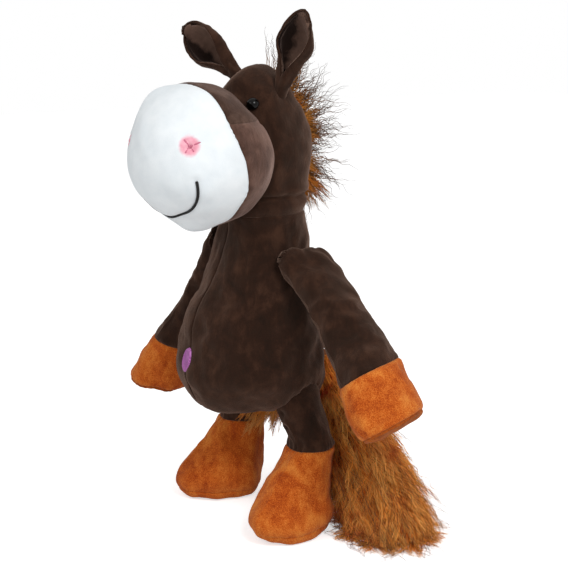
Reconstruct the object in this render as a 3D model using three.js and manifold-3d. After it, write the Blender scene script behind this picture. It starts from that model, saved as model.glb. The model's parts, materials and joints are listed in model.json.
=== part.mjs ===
// A standing plush horse with sewn panels, stuffed limbs, hoof mittens, and a faux-fur mane and tail.
// Millimetres. +Z is up, the horse faces -Y, and its own left side is +X.
import * as THREE from "three";
import { mergeVertices } from "three/addons/utils/BufferGeometryUtils.js";
import Module from "manifold-3d";

const wasm = await Module();
wasm.setup();

// Driving sizes, in millimetres. Angles are in degrees.
const gap = 0.3; // between pieces that touch
const skin = 2.2; // plush fabric with its pile
const overrun = 800; // how far a cutting block reaches past what it cuts

const neck = { height: 190, radius: 27.5, collar: 20, turn: 12 };

const torso = {
  bottom: 65,
  bellyHeight: 99,
  bellyWidth: 42.5,
  bellyFront: 50,
  bellyBack: 40,
  chestHeight: 140,
  chestWidth: 35.5,
  chestFront: 38.5,
  chestBack: 35,
};

const head = {
  templeLift: 34, // above the neck
  templeWidth: 31,
  templeFront: 31,
  templeBack: 33,
  browLift: 28, // above the temples
  browRadius: 23.5,
  crownLift: 20, // above the brow
};

const muzzle = {
  forward: 44,
  lift: 1, // above the temples
  radius: 42,
  length: 42,
  droop: 6,
  seamForward: 3,
  cheekSeamHeight: 16,
};

const eye = {
  radius: 3.6,
  dome: 2.6,
  drop: 1, // below the brow
  bearing: 41,
  tilt: 30,
  stemRadius: 1.3,
  stemLength: 6.5,
  washerRadius: 5,
  washerThickness: 1.2,
};

const nostril = { radius: 7, bearing: 40, rise: 16, thickness: 0.7 };
const smile = { halfWidth: 28.5, cornerDrop: 6, depth: 23.5, cord: 2, thickness: 0.8 };
const navel = { width: 10, height: 15, lift: 5, thickness: 0.9 };

const ear = {
  length: 48,
  width: 24,
  depth: 15,
  lining: 1.4,
  rim: 0.6,
  halfSpacing: 20,
  back: 2,
  drop: 6.5, // below the crown
  stagger: 2.5, // the left one sits lower by this, and the right one higher
  facing: 28,
  baseRadius: 4.5,
  poses: { left: { splay: 20, lean: 1 }, right: { splay: 49, lean: 8 } },
};

const mane = {
  reach: 34,
  thickness: 15,
  tapeWidth: 9,
  tape: 1.4,
  locks: 7,
  lockDepth: 9,
  front: -18,
  nape: 132,
};

const shoulder = { halfSpacing: 27.8, back: 10, drop: 30, patchRadius: 12, rimWidth: 5, flare: 11.6 };
const arm = {
  length: 114,
  topRadius: 16,
  topThickness: 10.5,
  elbowRadius: 17.5,
  elbowThickness: 13,
  cuff: 76,
  cuffRadius: 20.5,
  cuffThickness: 16,
  hoofRadius: 22.5,
  hoofThickness: 17.5,
  sole: 5,
  standOff: 9.5,
  poses: { left: { splay: 46, swing: 2 }, right: { splay: 30, swing: -17 } },
};

const hip = { halfSpacing: 28.5, back: 9, drop: 21, ballRadius: 15, socketGap: 0.8 };
const leg = {
  shinOffset: 11.5, // outwards from the hip
  shinRadius: 14.5,
  cuff: 52,
  footOffset: 9, // outwards from the hip
  footForward: 10,
  footWidth: 21.5,
  toe: 34,
  heel: 22,
  footHeight: 14,
  toeOut: 15,
  sole: 6,
  sunk: 0.5,
};

const tail = {
  drop: 6, // below the belly's widest height
  rootRadius: 6.5,
  bushWidth: 34,
  fanWidth: 40,
  bushFront: 24,
  bushBack: 25,
  sideways: 76,
  coreRadius: 3.5,
  coreLength: 45,
};

// Heights above the floor that follow from these.
const templeHeight = neck.height + head.templeLift;
const browHeight = templeHeight + head.browLift;
const crownHeight = browHeight + head.crownLift;
const muzzleHeight = templeHeight + muzzle.lift;
const shoulderHeight = neck.height - shoulder.drop;
const hipHeight = torso.bellyHeight - hip.drop;
const tailHeight = torso.bellyHeight - tail.drop;

// Colours of the fabrics and of the eyes.
const fabrics = {
  brownPlush: { color: 0x35261f, roughness: 0.95 },
  brownLining: { color: 0x4a3833, roughness: 0.95 },
  whitePlush: { color: 0xe9eff2, roughness: 0.9 },
  orangePlush: { color: 0xb9541a, roughness: 0.95 },
  rustFur: { color: 0x9a531b, roughness: 0.9 },
  backing: { color: 0x6b3d1c, roughness: 1 },
  pinkThread: { color: 0xeb9db0, roughness: 0.8 },
  blackThread: { color: 0x141210, roughness: 0.7 },
  purpleThread: { color: 0xa765a5, roughness: 0.6 },
  filling: { color: 0xf3f1ea, roughness: 1 },
  eyePlastic: { color: 0x0b0808, roughness: 0.12 },
  washerPlastic: { color: 0xdedcd4, roughness: 0.5 },
};
const materials = {};
for (const [name, look] of Object.entries(fabrics))
  materials[name] = new THREE.MeshStandardMaterial({ metalness: 0, ...look });

const radians = THREE.MathUtils.degToRad;
const bothSides = [
  ["left", 1],
  ["right", -1],
];

// A closed geometry as a solid that can be joined and cut.
function solid(geometry) {
  const bare = geometry.index ? geometry.clone() : mergeVertices(geometry);
  bare.deleteAttribute("normal");
  bare.deleteAttribute("uv");
  const merged = mergeVertices(bare, 1e-4);
  const corners = [];
  for (let i = 0; i < merged.index.count; i += 3) {
    const [a, b, c] = [merged.index.getX(i), merged.index.getX(i + 1), merged.index.getX(i + 2)];
    if (a !== b && b !== c && c !== a) corners.push(a, b, c);
  }
  const mesh = new wasm.Mesh({
    numProp: 3,
    vertProperties: new Float32Array(merged.attributes.position.array),
    triVerts: new Uint32Array(corners),
  });
  return new wasm.Manifold(mesh);
}

function named(name, body, material) {
  const { numProp, vertProperties, triVerts } = body.getMesh();
  const positions = new Float32Array((vertProperties.length / numProp) * 3);
  for (let i = 0; i * numProp < vertProperties.length; i++)
    positions.set(vertProperties.subarray(i * numProp, i * numProp + 3), i * 3);
  const geometry = new THREE.BufferGeometry();
  geometry.setAttribute("position", new THREE.BufferAttribute(positions, 3));
  geometry.setIndex(new THREE.BufferAttribute(triVerts, 1));
  const flat = geometry.toNonIndexed();
  flat.computeVertexNormals();
  const mesh = new THREE.Mesh(flat, materials[material]);
  mesh.name = name;
  return mesh;
}

// A stuffed form from rows of [height, half width, front, back, side shift, back shift].
// The first and last rows are its poles. A positive inset draws the surface in, and a negative one
// swells it. Surfaces inside the fabric are coarser than the outer one.
function stuffedGeometry(rows, outerSides, outerRings, inset = 0) {
  const sides = inset > 0 ? outerSides / 2 : outerSides;
  const rings = inset > 0 ? Math.round(outerRings * 0.7) : outerRings;
  const sizes = new THREE.CatmullRomCurve3(
    rows.map(([height, width, front]) => new THREE.Vector3(height, width, front)),
    false,
    "catmullrom",
  );
  const shifts = new THREE.CatmullRomCurve3(
    rows.map(([, , , back, side = 0, rear = 0]) => new THREE.Vector3(back, side, rear)),
    false,
    "catmullrom",
  );
  const girth = (size, shift) => (2 * size.y + size.z + shift.x) / 4;
  const positions = [];
  for (let i = 0; i <= rings; i++) {
    const share = i / rings;
    const size = sizes.getPoint(share);
    const shift = shifts.getPoint(share);
    const step = 1 / (8 * rings);
    const [low, high] = [Math.max(0, share - step), Math.min(1, share + step)];
    const rise = sizes.getPoint(high).x - sizes.getPoint(low).x;
    const girthAt = (place) => girth(sizes.getPoint(place), shifts.getPoint(place));
    const swell = girthAt(high) - girthAt(low);
    const slope = Math.hypot(rise, swell);
    const pole = i === 0 || i === rings;
    const outward = pole ? 0 : rise / slope;
    const upward = pole ? Math.sign(i - 1) : -swell / slope;
    const height = size.x - inset * upward;
    if (pole) {
      positions.push(shift.y, shift.z, height);
      continue;
    }
    for (let j = 0; j < sides; j++) {
      const turn = (2 * Math.PI * j) / sides;
      const depth = Math.sin(turn) < 0 ? size.z : shift.x;
      positions.push(
        shift.y + (size.y - inset * outward) * Math.cos(turn),
        shift.z + (depth - inset * outward) * Math.sin(turn),
        height,
      );
    }
  }
  return closedRings(positions, sides, rings);
}

// A row of a form that is round at that height.
function ringRow(height, radius, side = 0, back = 0) {
  return [height, radius, radius, radius, side, back];
}

// Joins a bottom pole, rings of equal sides and a top pole into one closed surface.
function closedRings(positions, sides, rings) {
  const corner = (ring, j) => 1 + (ring - 1) * sides + (j % sides);
  const last = 1 + (rings - 1) * sides;
  const faces = [];
  for (let j = 0; j < sides; j++) {
    faces.push(0, corner(1, j + 1), corner(1, j));
    for (let i = 1; i < rings - 1; i++) {
      faces.push(corner(i, j), corner(i, j + 1), corner(i + 1, j + 1));
      faces.push(corner(i, j), corner(i + 1, j + 1), corner(i + 1, j));
    }
    faces.push(corner(rings - 1, j), corner(rings - 1, j + 1), last);
  }
  const geometry = new THREE.BufferGeometry();
  geometry.setAttribute("position", new THREE.Float32BufferAttribute(positions, 3));
  geometry.setIndex(faces);
  return geometry;
}

// A block that fills everything on one side of a plane: along is its axis, from its near face.
function block(axis, from, towards, matrix) {
  const geometry = new THREE.BoxGeometry(overrun, overrun, overrun);
  const centre = new THREE.Vector3();
  centre[axis] = from + (towards * overrun) / 2;
  geometry.translate(centre.x, centre.y, centre.z);
  if (matrix) geometry.applyMatrix4(matrix);
  return solid(geometry);
}

const above = (height) => block("z", height, 1);
const below = (height) => block("z", height, -1);

// The matrix that carries points of the part's frame into a group's own frame.
function intoFrameOf(group) {
  group.updateMatrixWorld(true);
  return group.matrixWorld.clone().invert();
}

// Torso
const bellyRow = (height, width, front, back) => [
  torso.bottom + height * (torso.bellyHeight - torso.bottom),
  width * torso.bellyWidth,
  front * torso.bellyFront,
  back * torso.bellyBack,
];
const torsoRows = [
  bellyRow(0, 0, 0, 0),
  bellyRow(0.087, 0.5, 0.42, 0.45),
  bellyRow(0.291, 0.79, 0.71, 0.75),
  bellyRow(0.641, 0.96, 0.92, 0.94),
  [torso.bellyHeight, torso.bellyWidth, torso.bellyFront, torso.bellyBack],
  [
    (torso.bellyHeight + torso.chestHeight) / 2,
    (torso.bellyWidth + torso.chestWidth) / 2 + gap,
    (torso.bellyFront + torso.chestFront) / 2 + gap,
    (torso.bellyBack + torso.chestBack) / 2 + gap,
  ],
  [torso.chestHeight, torso.chestWidth, torso.chestFront, torso.chestBack],
  ringRow((torso.chestHeight + neck.height) / 2, 1.07 * neck.radius),
  ringRow(neck.height - neck.collar / 2, neck.radius),
  ringRow(neck.height, neck.radius),
  ringRow(neck.height + neck.collar / 2, neck.radius / 2),
  ringRow(neck.height + neck.collar, 0),
];
const torsoForm = (inset = 0) => stuffedGeometry(torsoRows, 22, 14, inset);

const hipPlace = (side) => new THREE.Vector3(side * hip.halfSpacing, hip.back, hipHeight);
function shoulderPlace(side) {
  return new THREE.Vector3(side * shoulder.halfSpacing, shoulder.back, shoulderHeight);
}

// What the hips and the shoulders need clear of the torso.
function limbRoom(side) {
  const ball = new THREE.SphereGeometry(hip.ballRadius + hip.socketGap, 20, 14);
  const place = hipPlace(side);
  ball.translate(place.x, place.y, place.z);
  const patch = new THREE.CylinderGeometry(shoulder.patchRadius, shoulder.patchRadius, arm.length, 20);
  const seat = shoulderPlace(side);
  patch.rotateZ(Math.PI / 2).translate(seat.x + (side * arm.length) / 2, seat.y, seat.z);
  return solid(ball).add(solid(patch));
}

// The flat seat and the flaring flank that an arm has to clear as it swings about its shoulder.
function shoulderFlank(side) {
  const flank = shoulderHeight - torso.bellyHeight;
  const belly = shoulder.rimWidth + (flank - shoulder.patchRadius) * Math.tan(radians(shoulder.flare));
  const profile = [
    [0, -overrun],
    [overrun, -overrun],
    [overrun, belly],
    [flank, belly],
    [shoulder.patchRadius - gap, shoulder.rimWidth],
    [shoulder.patchRadius - gap, gap],
    [0, gap],
  ].map(([radius, out]) => new THREE.Vector2(radius, out));
  const seat = shoulderPlace(side);
  const lathe = new THREE.LatheGeometry(profile, 20);
  return solid(lathe.rotateZ((-side * Math.PI) / 2).translate(seat.x, seat.y, seat.z));
}

function makeTorso() {
  const group = new THREE.Group();
  const room = limbRoom(1).add(limbRoom(-1)).add(above(neck.height - gap / 2));
  const shell = solid(torsoForm()).subtract(solid(torsoForm(skin))).subtract(room);
  const filling = solid(torsoForm(skin + gap)).subtract(room);
  group.add(named("torso_left_skin", shell.subtract(block("x", gap / 2, -1)), "brownPlush"));
  group.add(named("torso_right_skin", shell.subtract(block("x", -gap / 2, 1)), "brownPlush"));
  group.add(named("torso_filling", filling, "filling"));
  group.add(makeNavel());
  return group;
}

// A thin layer lying on a form, within a cutter: embroidery, an applique or a tape.
function layerOn(form, thickness, cutter) {
  return solid(form(-gap - thickness)).subtract(solid(form(-gap))).intersect(cutter);
}

function makeNavel() {
  const oval = new THREE.CylinderGeometry(0.5, 0.5, torso.bellyFront, 20);
  const height = torso.bellyHeight + navel.lift;
  oval.scale(navel.width, 1, navel.height).translate(0, -torso.bellyFront, height);
  return named("navel_embroidery", layerOn(torsoForm, navel.thickness, solid(oval)), "purpleThread");
}

// Head, in a frame that turns about the neck
const skullRows = [
  ringRow(neck.height - neck.collar, 0),
  ringRow(neck.height - neck.collar / 2, 0.8 * neck.radius),
  ringRow(neck.height, neck.radius),
  [
    (neck.height + templeHeight) / 2,
    (neck.radius + head.templeWidth) / 2,
    (neck.radius + head.templeFront) / 2,
    (neck.radius + head.templeBack) / 2,
  ],
  [templeHeight, head.templeWidth, head.templeFront, head.templeBack],
  [
    (templeHeight + browHeight) / 2,
    0.92 * head.templeWidth,
    0.92 * head.templeFront,
    0.92 * head.templeBack,
  ],
  ringRow(browHeight, head.browRadius),
  ringRow(crownHeight - 0.03 * browHeight, 0.72 * head.browRadius),
  ringRow(crownHeight - 0.006 * browHeight, 0.35 * head.browRadius),
  ringRow(crownHeight, 0),
];
const skullForm = (inset = 0) => stuffedGeometry(skullRows, 20, 14, inset);

// Rows of [along, half width, under, over], from the root to the tip of the muzzle.
const muzzleShares = [
  [-1, 0, 0, 0],
  [-0.93, 0.37, 0.37, 0.37],
  [-0.7, 0.72, 0.72, 0.72],
  [-0.36, 0.94, 0.94, 0.94],
  [0, 1, 1, 1],
  [0.34, 0.96, 0.96, 0.94],
  [0.64, 0.8, 0.8, 0.76],
  [0.86, 0.54, 0.54, 0.5],
  [0.97, 0.25, 0.25, 0.23],
  [1, 0, 0, 0],
];
const muzzleRows = muzzleShares.map(([along, ...girth]) => [
  along * (along < 0 ? muzzle.radius : muzzle.length),
  ...girth.map((share) => share * muzzle.radius),
]);
// The muzzle's own axis points forwards and droops a little.
const muzzleMatrix = new THREE.Matrix4()
  .makeTranslation(0, -muzzle.forward, muzzleHeight)
  .multiply(new THREE.Matrix4().makeRotationX(radians(90 + muzzle.droop)));
const muzzleForm = (inset = 0) => stuffedGeometry(muzzleRows, 22, 14, inset).applyMatrix4(muzzleMatrix);

// The skull's half width at a height.
function skullRadiusAt(height) {
  const points = skullRows.map(([z, width]) => new THREE.Vector3(z, width, 0));
  const profile = new THREE.CatmullRomCurve3(points, false, "catmullrom");
  let [low, high] = [0, 1];
  for (let i = 0; i < 30; i++) {
    const middle = (low + high) / 2;
    if (profile.getPoint(middle).x < height) low = middle;
    else high = middle;
  }
  return profile.getPoint(low).y;
}

// Where the eye's stem leaves the skull, and the way it points.
function eyeMatrix(side) {
  const bearing = radians(eye.bearing);
  const height = browHeight - eye.drop;
  const level = new THREE.Vector3(side * Math.sin(bearing), -Math.cos(bearing), 0);
  const outward = level.clone().setZ(Math.tan(radians(eye.tilt))).normalize();
  const turned = new THREE.Quaternion().setFromUnitVectors(new THREE.Vector3(0, 1, 0), outward);
  const place = level.multiplyScalar(skullRadiusAt(height) + gap).setZ(height);
  return new THREE.Matrix4().compose(place, turned, new THREE.Vector3(1, 1, 1));
}

function eyeSolid(side) {
  const domeShares = [0, 0.5, 0.8, 1];
  const dome = domeShares.map((share) => {
    const angle = (share * Math.PI) / 2;
    return new THREE.Vector2(eye.radius * Math.sin(angle), gap + eye.dome * Math.cos(angle));
  });
  const profile = [
    new THREE.Vector2(0, -eye.stemLength),
    new THREE.Vector2(eye.stemRadius, -eye.stemLength),
    new THREE.Vector2(eye.stemRadius, gap),
    ...dome.reverse(),
  ];
  return solid(new THREE.LatheGeometry(profile, 12).applyMatrix4(eyeMatrix(side)));
}

function washerSolid(side) {
  const inner = eye.stemRadius + gap;
  const top = -skin - 2 * gap;
  const profile = [
    [inner, top],
    [inner, top - eye.washerThickness],
    [eye.washerRadius, top - eye.washerThickness],
    [eye.washerRadius, top],
    [inner, top],
  ].map(([radius, height]) => new THREE.Vector2(radius, height));
  return solid(new THREE.LatheGeometry(profile, 12).applyMatrix4(eyeMatrix(side)));
}

// A round room along both eyes' stems, from one depth under the skull's surface to another.
function eyeRooms(radius, shallow, deep) {
  const room = (side) => {
    const drum = new THREE.CylinderGeometry(radius, radius, deep - shallow, 12);
    drum.translate(0, -(shallow + deep) / 2, 0);
    return solid(drum.applyMatrix4(eyeMatrix(side)));
  };
  return room(1).add(room(-1));
}

// A short rod through the muzzle's skin, at a bearing from its front and a rise above its middle.
function rodThroughMuzzle(radius, bearing, rise) {
  const outward = new THREE.Vector3(
    Math.sin(radians(bearing)) * Math.cos(radians(rise)),
    Math.sin(radians(rise)),
    Math.cos(radians(bearing)) * Math.cos(radians(rise)),
  );
  const rod = new THREE.CylinderGeometry(radius, radius, muzzle.radius, 14);
  rod.applyQuaternion(new THREE.Quaternion().setFromUnitVectors(new THREE.Vector3(0, 1, 0), outward));
  rod.translate(...outward.multiplyScalar(muzzle.radius).toArray());
  return solid(rod.applyMatrix4(muzzleMatrix));
}

// The smile is a flat arc, as seen from the front, pushed back through the muzzle's skin.
function smileCutter() {
  const outline = new THREE.Shape();
  const steps = 16;
  const arc = (offset) =>
    Array.from({ length: steps + 1 }, (_, i) => {
      const angle = (Math.PI * i) / steps;
      return new THREE.Vector2(
        (smile.halfWidth + offset) * Math.cos(angle),
        -smile.cornerDrop - (smile.depth + offset) * Math.sin(angle),
      );
    });
  outline.setFromPoints([...arc(smile.cord / 2), ...arc(-smile.cord / 2).reverse()]);
  const band = new THREE.ExtrudeGeometry(outline, { depth: 2 * muzzle.length, bevelEnabled: false });
  return solid(band.applyMatrix4(muzzleMatrix));
}

// Each ear's foot is a ball in a dimple of the skull.
function earPlace(side) {
  return new THREE.Vector3(side * ear.halfSpacing, ear.back, crownHeight - ear.drop - side * ear.stagger);
}

function earDimples() {
  const dimple = (side) => {
    const ball = new THREE.SphereGeometry(1.05 * ear.baseRadius + gap, 16, 12);
    return solid(ball.translate(...earPlace(side).toArray()));
  };
  return dimple(1).add(dimple(-1));
}

const headGroup = new THREE.Group();
headGroup.rotation.z = radians(neck.turn);

function makeHead() {
  const base = below(neck.height + gap / 2);
  const stemHoles = eyeRooms(eye.stemRadius + gap, -eye.stemLength, eye.stemLength + gap);
  const washerRooms = eyeRooms(eye.washerRadius + gap, skin + gap, eye.stemLength + gap);
  const holes = stemHoles.add(washerRooms).add(earDimples());
  const shell = solid(skullForm()).subtract(solid(skullForm(skin))).subtract(base).subtract(holes);
  headGroup.add(named("head_left_skin", shell.subtract(block("x", gap / 2, -1)), "brownPlush"));
  headGroup.add(named("head_right_skin", shell.subtract(block("x", -gap / 2, 1)), "brownPlush"));
  const filling = solid(skullForm(skin + gap)).subtract(base).subtract(holes);
  headGroup.add(named("head_filling", filling, "filling"));
  for (const [name, side] of bothSides) {
    headGroup.add(named(`${name}_eye`, eyeSolid(side), "eyePlastic"));
    headGroup.add(named(`${name}_eye_washer`, washerSolid(side), "washerPlastic"));
  }
}

function makeMuzzle() {
  const eyeClearance = (side) => {
    const ball = new THREE.SphereGeometry(eye.radius + 2 * gap, 12, 8);
    return solid(ball.applyMatrix4(eyeMatrix(side)));
  };
  const chest = solid(torsoForm(-gap).applyMatrix4(intoFrameOf(headGroup)));
  const room = solid(skullForm(-gap)).add(chest).add(eyeClearance(1)).add(eyeClearance(-1));
  const shell = solid(muzzleForm()).subtract(solid(muzzleForm(skin))).subtract(room);
  const frontOf = (forward, towards) => block("z", forward, towards, muzzleMatrix);
  const band = shell.subtract(frontOf(muzzle.seamForward - gap / 2, 1));
  const upper = muzzleHeight + muzzle.cheekSeamHeight;
  const front = shell.subtract(frontOf(muzzle.seamForward + gap / 2, -1));
  headGroup.add(named("muzzle_front", front, "whitePlush"));
  headGroup.add(named("muzzle_bridge", band.subtract(below(upper + gap / 2)), "brownPlush"));
  headGroup.add(named("muzzle_cheeks", band.subtract(above(upper - gap / 2)), "brownLining"));
  const filling = solid(muzzleForm(skin + gap)).subtract(room);
  headGroup.add(named("muzzle_filling", filling, "filling"));
  const layer = (thickness, cutter) => layerOn(muzzleForm, thickness, cutter);
  for (const [name, side] of bothSides) {
    const rod = rodThroughMuzzle(nostril.radius, side * nostril.bearing, nostril.rise);
    headGroup.add(named(`${name}_nostril`, layer(nostril.thickness, rod), "pinkThread"));
  }
  const ahead = frontOf(muzzle.seamForward + muzzle.radius / 4, -1);
  const stitches = layer(smile.thickness, smileCutter()).subtract(ahead);
  headGroup.add(named("smile_embroidery", stitches, "blackThread"));
}

// Ears: a cupped leaf whose pinched foot is a ball on the fold's axis
const earRows = (inset) => {
  const footShares = [
    [-1, 0, 0],
    [-0.6, 0.85, 0.85],
    [0.3, 1, 1],
  ];
  const foot = footShares.map((share) => share.map((value) => value * (ear.baseRadius - inset)));
  const leafShares = [
    [0.28, 0.72, 0.75],
    [0.48, 0.98, 1],
    [0.68, 0.9, 0.85],
    [0.86, 0.58, 0.5],
    [0.96, 0.27, 0.22],
  ];
  const leaf = leafShares.map(([height, width, depth]) => [
    height * ear.length,
    (width * ear.width) / 2 - inset,
    (depth * ear.depth) / 2 - inset,
    (depth * ear.depth) / 2 - inset,
  ]);
  const tip = [ear.length - inset, 0, 0, 0];
  return [...foot.map(([height, width, depth]) => [height, width, depth, depth]), ...leaf, tip];
};
function earForm(inset, forward) {
  return solid(stuffedGeometry(earRows(inset), 14, 10).translate(0, -forward, 0));
}

function makeEar(name, side) {
  const group = new THREE.Group();
  group.name = `${name}_ear`;
  const { splay, lean } = ear.poses[name];
  group.position.copy(earPlace(side));
  group.rotation.set(radians(lean), side * radians(splay), side * radians(ear.facing), "YXZ");
  const cup = ear.depth / 2;
  const lip = below(0.16 * ear.length);
  const hollow = earForm(0, cup).subtract(lip);
  const lined = earForm(0, cup - ear.lining).subtract(lip);
  const outer = earForm(0, 0).subtract(earForm(0, cup - ear.lining - gap).subtract(lip));
  const cover = earForm(ear.rim, 0).intersect(lined).subtract(hollow);
  group.add(named(`${name}_ear_back`, outer, "brownPlush"));
  group.add(named(`${name}_ear_lining`, cover, "brownLining"));
  return group;
}

// Mane: a crest of locks from between the ears to the nape, on a tape sewn into the back seam
function maneOutline(reach) {
  const outline = [];
  const steps = mane.locks * 6;
  const endShare = 0.2;
  for (let i = 0; i <= steps; i++) {
    const share = i / steps;
    const bearing = radians(mane.front + (mane.nape - mane.front) * share);
    const lock = Math.abs(Math.cos(Math.PI * mane.locks * share));
    const ends = Math.min(1, share / endShare + 0.5, (1 - share) / endShare + 0.5);
    const radius = head.templeBack + (reach - mane.lockDepth * (1 - lock)) * ends;
    const edge = new THREE.Vector2(radius * Math.sin(bearing), radius * Math.cos(bearing));
    outline.push(edge.setY(edge.y + templeHeight));
  }
  return [new THREE.Vector2(0, templeHeight), ...outline];
}

function makeMane() {
  const tapeRoom = -2 * gap - mane.tape;
  const strip = new THREE.BoxGeometry(mane.tapeWidth, overrun, overrun);
  strip.translate(0, overrun / 2, templeHeight);
  const tape = layerOn(skullForm, mane.tape, solid(strip)).subtract(below(neck.height + 2 * gap));
  headGroup.add(named("mane_tape", tape, "backing"));
  const crest = new THREE.ExtrudeGeometry(new THREE.Shape(maneOutline(mane.reach)), {
    depth: mane.thickness,
    bevelEnabled: false,
  });
  const upright = new THREE.Matrix4().makeBasis(
    new THREE.Vector3(0, 1, 0),
    new THREE.Vector3(0, 0, 1),
    new THREE.Vector3(1, 0, 0),
  );
  crest.translate(0, 0, -mane.thickness / 2).applyMatrix4(upright);
  const chest = solid(torsoForm(-gap).applyMatrix4(intoFrameOf(headGroup)));
  const fur = solid(crest).subtract(solid(skullForm(tapeRoom))).subtract(chest);
  headGroup.add(named("mane_fur", fur, "rustFur"));
}

// Arms: the form hangs along its own -Z from the shoulder, and its bottom is the hoof's sole
const ovalRow = (height, thickness, radius) => [height, thickness, radius, radius];
const armRows = [
  ovalRow(-arm.length, 0, 0),
  ovalRow(-0.985 * arm.length, 0.62 * arm.hoofThickness, 0.62 * arm.hoofRadius),
  ovalRow(-0.95 * arm.length, 0.9 * arm.hoofThickness, 0.9 * arm.hoofRadius),
  ovalRow(-0.85 * arm.length, arm.hoofThickness, arm.hoofRadius),
  ovalRow(-arm.cuff, arm.cuffThickness, arm.cuffRadius),
  ovalRow(-arm.cuff / 2, arm.elbowThickness, arm.elbowRadius),
  ovalRow(-0.1 * arm.length, arm.topThickness, arm.topRadius),
  ovalRow(0, 0.9 * arm.topThickness, 0.98 * arm.topRadius),
  ovalRow(0.07 * arm.length, 0.6 * arm.topThickness, 0.8 * arm.topRadius),
  ovalRow(0.09 * arm.length, 0, 0),
];

function makeArm(name, side) {
  const group = new THREE.Group();
  const { splay, swing } = arm.poses[name];
  group.position.copy(shoulderPlace(side)).add(new THREE.Vector3(side * arm.standOff, 0, 0));
  group.rotation.set(radians(swing), -side * radians(splay), 0);
  group.updateMatrixWorld(true);
  const flank = shoulderFlank(side).transform([...intoFrameOf(group).elements]);
  const form = (inset) => solid(stuffedGeometry(armRows, 14, 12, inset)).subtract(flank);
  const shell = form(0).subtract(solid(stuffedGeometry(armRows, 14, 12, skin)));
  const sole = -arm.length + arm.sole;
  const cut = (low, high) => shell.subtract(below(low)).subtract(above(high));
  group.add(named(`${name}_arm_sleeve`, cut(-arm.cuff + gap / 2, overrun / 2), "brownPlush"));
  group.add(named(`${name}_hand_hoof`, cut(sole + gap / 2, -arm.cuff - gap / 2), "orangePlush"));
  group.add(named(`${name}_hand_sole`, cut(-overrun / 2, sole - gap / 2), "orangePlush"));
  group.add(named(`${name}_arm_filling`, form(skin + gap), "filling"));
  return group;
}

// Legs: a ball of stuffing in the hip opening, a short shin, and a hoof that stands flat on the floor
const legRows = (side) => {
  const shin = side * leg.shinOffset;
  const foot = side * leg.footOffset;
  const floor = -hipHeight;
  const footRow = (height, width, toe, heel, forward = 1) => [
    floor + height,
    width * leg.footWidth,
    toe * leg.toe,
    heel * leg.heel,
    foot,
    -forward * leg.footForward,
  ];
  return [
    footRow(-leg.sunk, 0, 0, 0),
    footRow(-leg.sunk / 2, 0.55, 0.6, 0.6),
    footRow(0.17 * leg.footHeight, 0.87, 0.9, 0.88),
    footRow(leg.footHeight, 1, 1, 1),
    footRow(2 * leg.footHeight, 0.87, 0.78, 0.95, 0.7),
    ringRow(floor + leg.cuff, leg.shinRadius, shin),
    ringRow(-0.9 * hip.ballRadius, 0.93 * leg.shinRadius, 0.7 * shin),
    ringRow(0, 0.94 * hip.ballRadius),
    ringRow(0.5 * hip.ballRadius, 0.8 * hip.ballRadius),
    ringRow(0.86 * hip.ballRadius, 0.42 * hip.ballRadius),
    ringRow(0.94 * hip.ballRadius, 0),
  ];
};

function makeLeg(name, side) {
  const group = new THREE.Group();
  group.position.copy(hipPlace(side));
  group.rotation.z = side * radians(leg.toeOut);
  const floor = -hipHeight;
  const form = (inset) => solid(stuffedGeometry(legRows(side), 16, 15, inset));
  const shell = form(0).subtract(form(skin)).subtract(below(floor));
  const cut = (low, high) => shell.subtract(below(low)).subtract(above(high));
  const [sole, cuff] = [floor + leg.sole, floor + leg.cuff];
  group.add(named(`${name}_leg_sleeve`, cut(cuff + gap / 2, overrun / 2), "brownPlush"));
  group.add(named(`${name}_foot_hoof`, cut(sole + gap / 2, cuff - gap / 2), "orangePlush"));
  group.add(named(`${name}_foot_sole`, cut(-overrun / 2, sole - gap / 2), "orangePlush"));
  group.add(named(`${name}_leg_filling`, form(skin + gap), "filling"));
  return group;
}

// Tail: a fabric core sewn to the back seam, in a bush of long fur that fans out to the floor
const tailRows = (() => {
  const floor = -tailHeight;
  const row = (height, width, depth, sway) => [
    height * tailHeight,
    width,
    depth * tail.bushFront,
    depth * tail.bushBack,
    sway * tail.sideways,
  ];
  return [
    ringRow(floor - leg.sunk, 0, tail.sideways),
    row(-1 - (0.5 * leg.sunk) / tailHeight, 0.65 * tail.bushWidth, 0.65, 1),
    row(-0.98, 0.92 * tail.bushWidth, 0.92, 1),
    row(-0.88, tail.bushWidth, 1, 0.97),
    row(-0.6, 0.97 * tail.fanWidth, 0.86, 0.6),
    row(-0.36, tail.fanWidth, 0.62, 0.3),
    row(-0.2, 0.5 * tail.fanWidth, 0.4, 0.12),
    ringRow(-0.06 * tailHeight, tail.rootRadius),
    ringRow(0, 0.7 * tail.rootRadius),
    ringRow(0.03 * tailHeight, 0),
  ];
})();

function makeTail() {
  const group = new THREE.Group();
  group.position.set(0, torso.bellyBack + tail.rootRadius + gap, tailHeight);
  const bush = solid(stuffedGeometry(tailRows, 18, 13)).subtract(below(-tailHeight));
  const { coreRadius: radius, coreLength: reach } = tail;
  const side = (tail.sideways * reach) / tailHeight / 2;
  const coreRows = [
    ringRow(-reach, 0, side),
    ringRow(-0.96 * reach, 0.7 * radius, side),
    ringRow(-0.5 * reach, radius, 0.3 * side),
    ringRow(0, radius),
    ringRow(0.08 * reach, 0.7 * radius),
    ringRow(0.1 * reach, 0),
  ];
  const core = (inset) => solid(stuffedGeometry(coreRows, 10, 8, inset));
  group.add(named("tail_core", core(0), "backing"));
  group.add(named("tail_fur", bush.subtract(core(-gap)), "rustFur"));
  return group;
}

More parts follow.
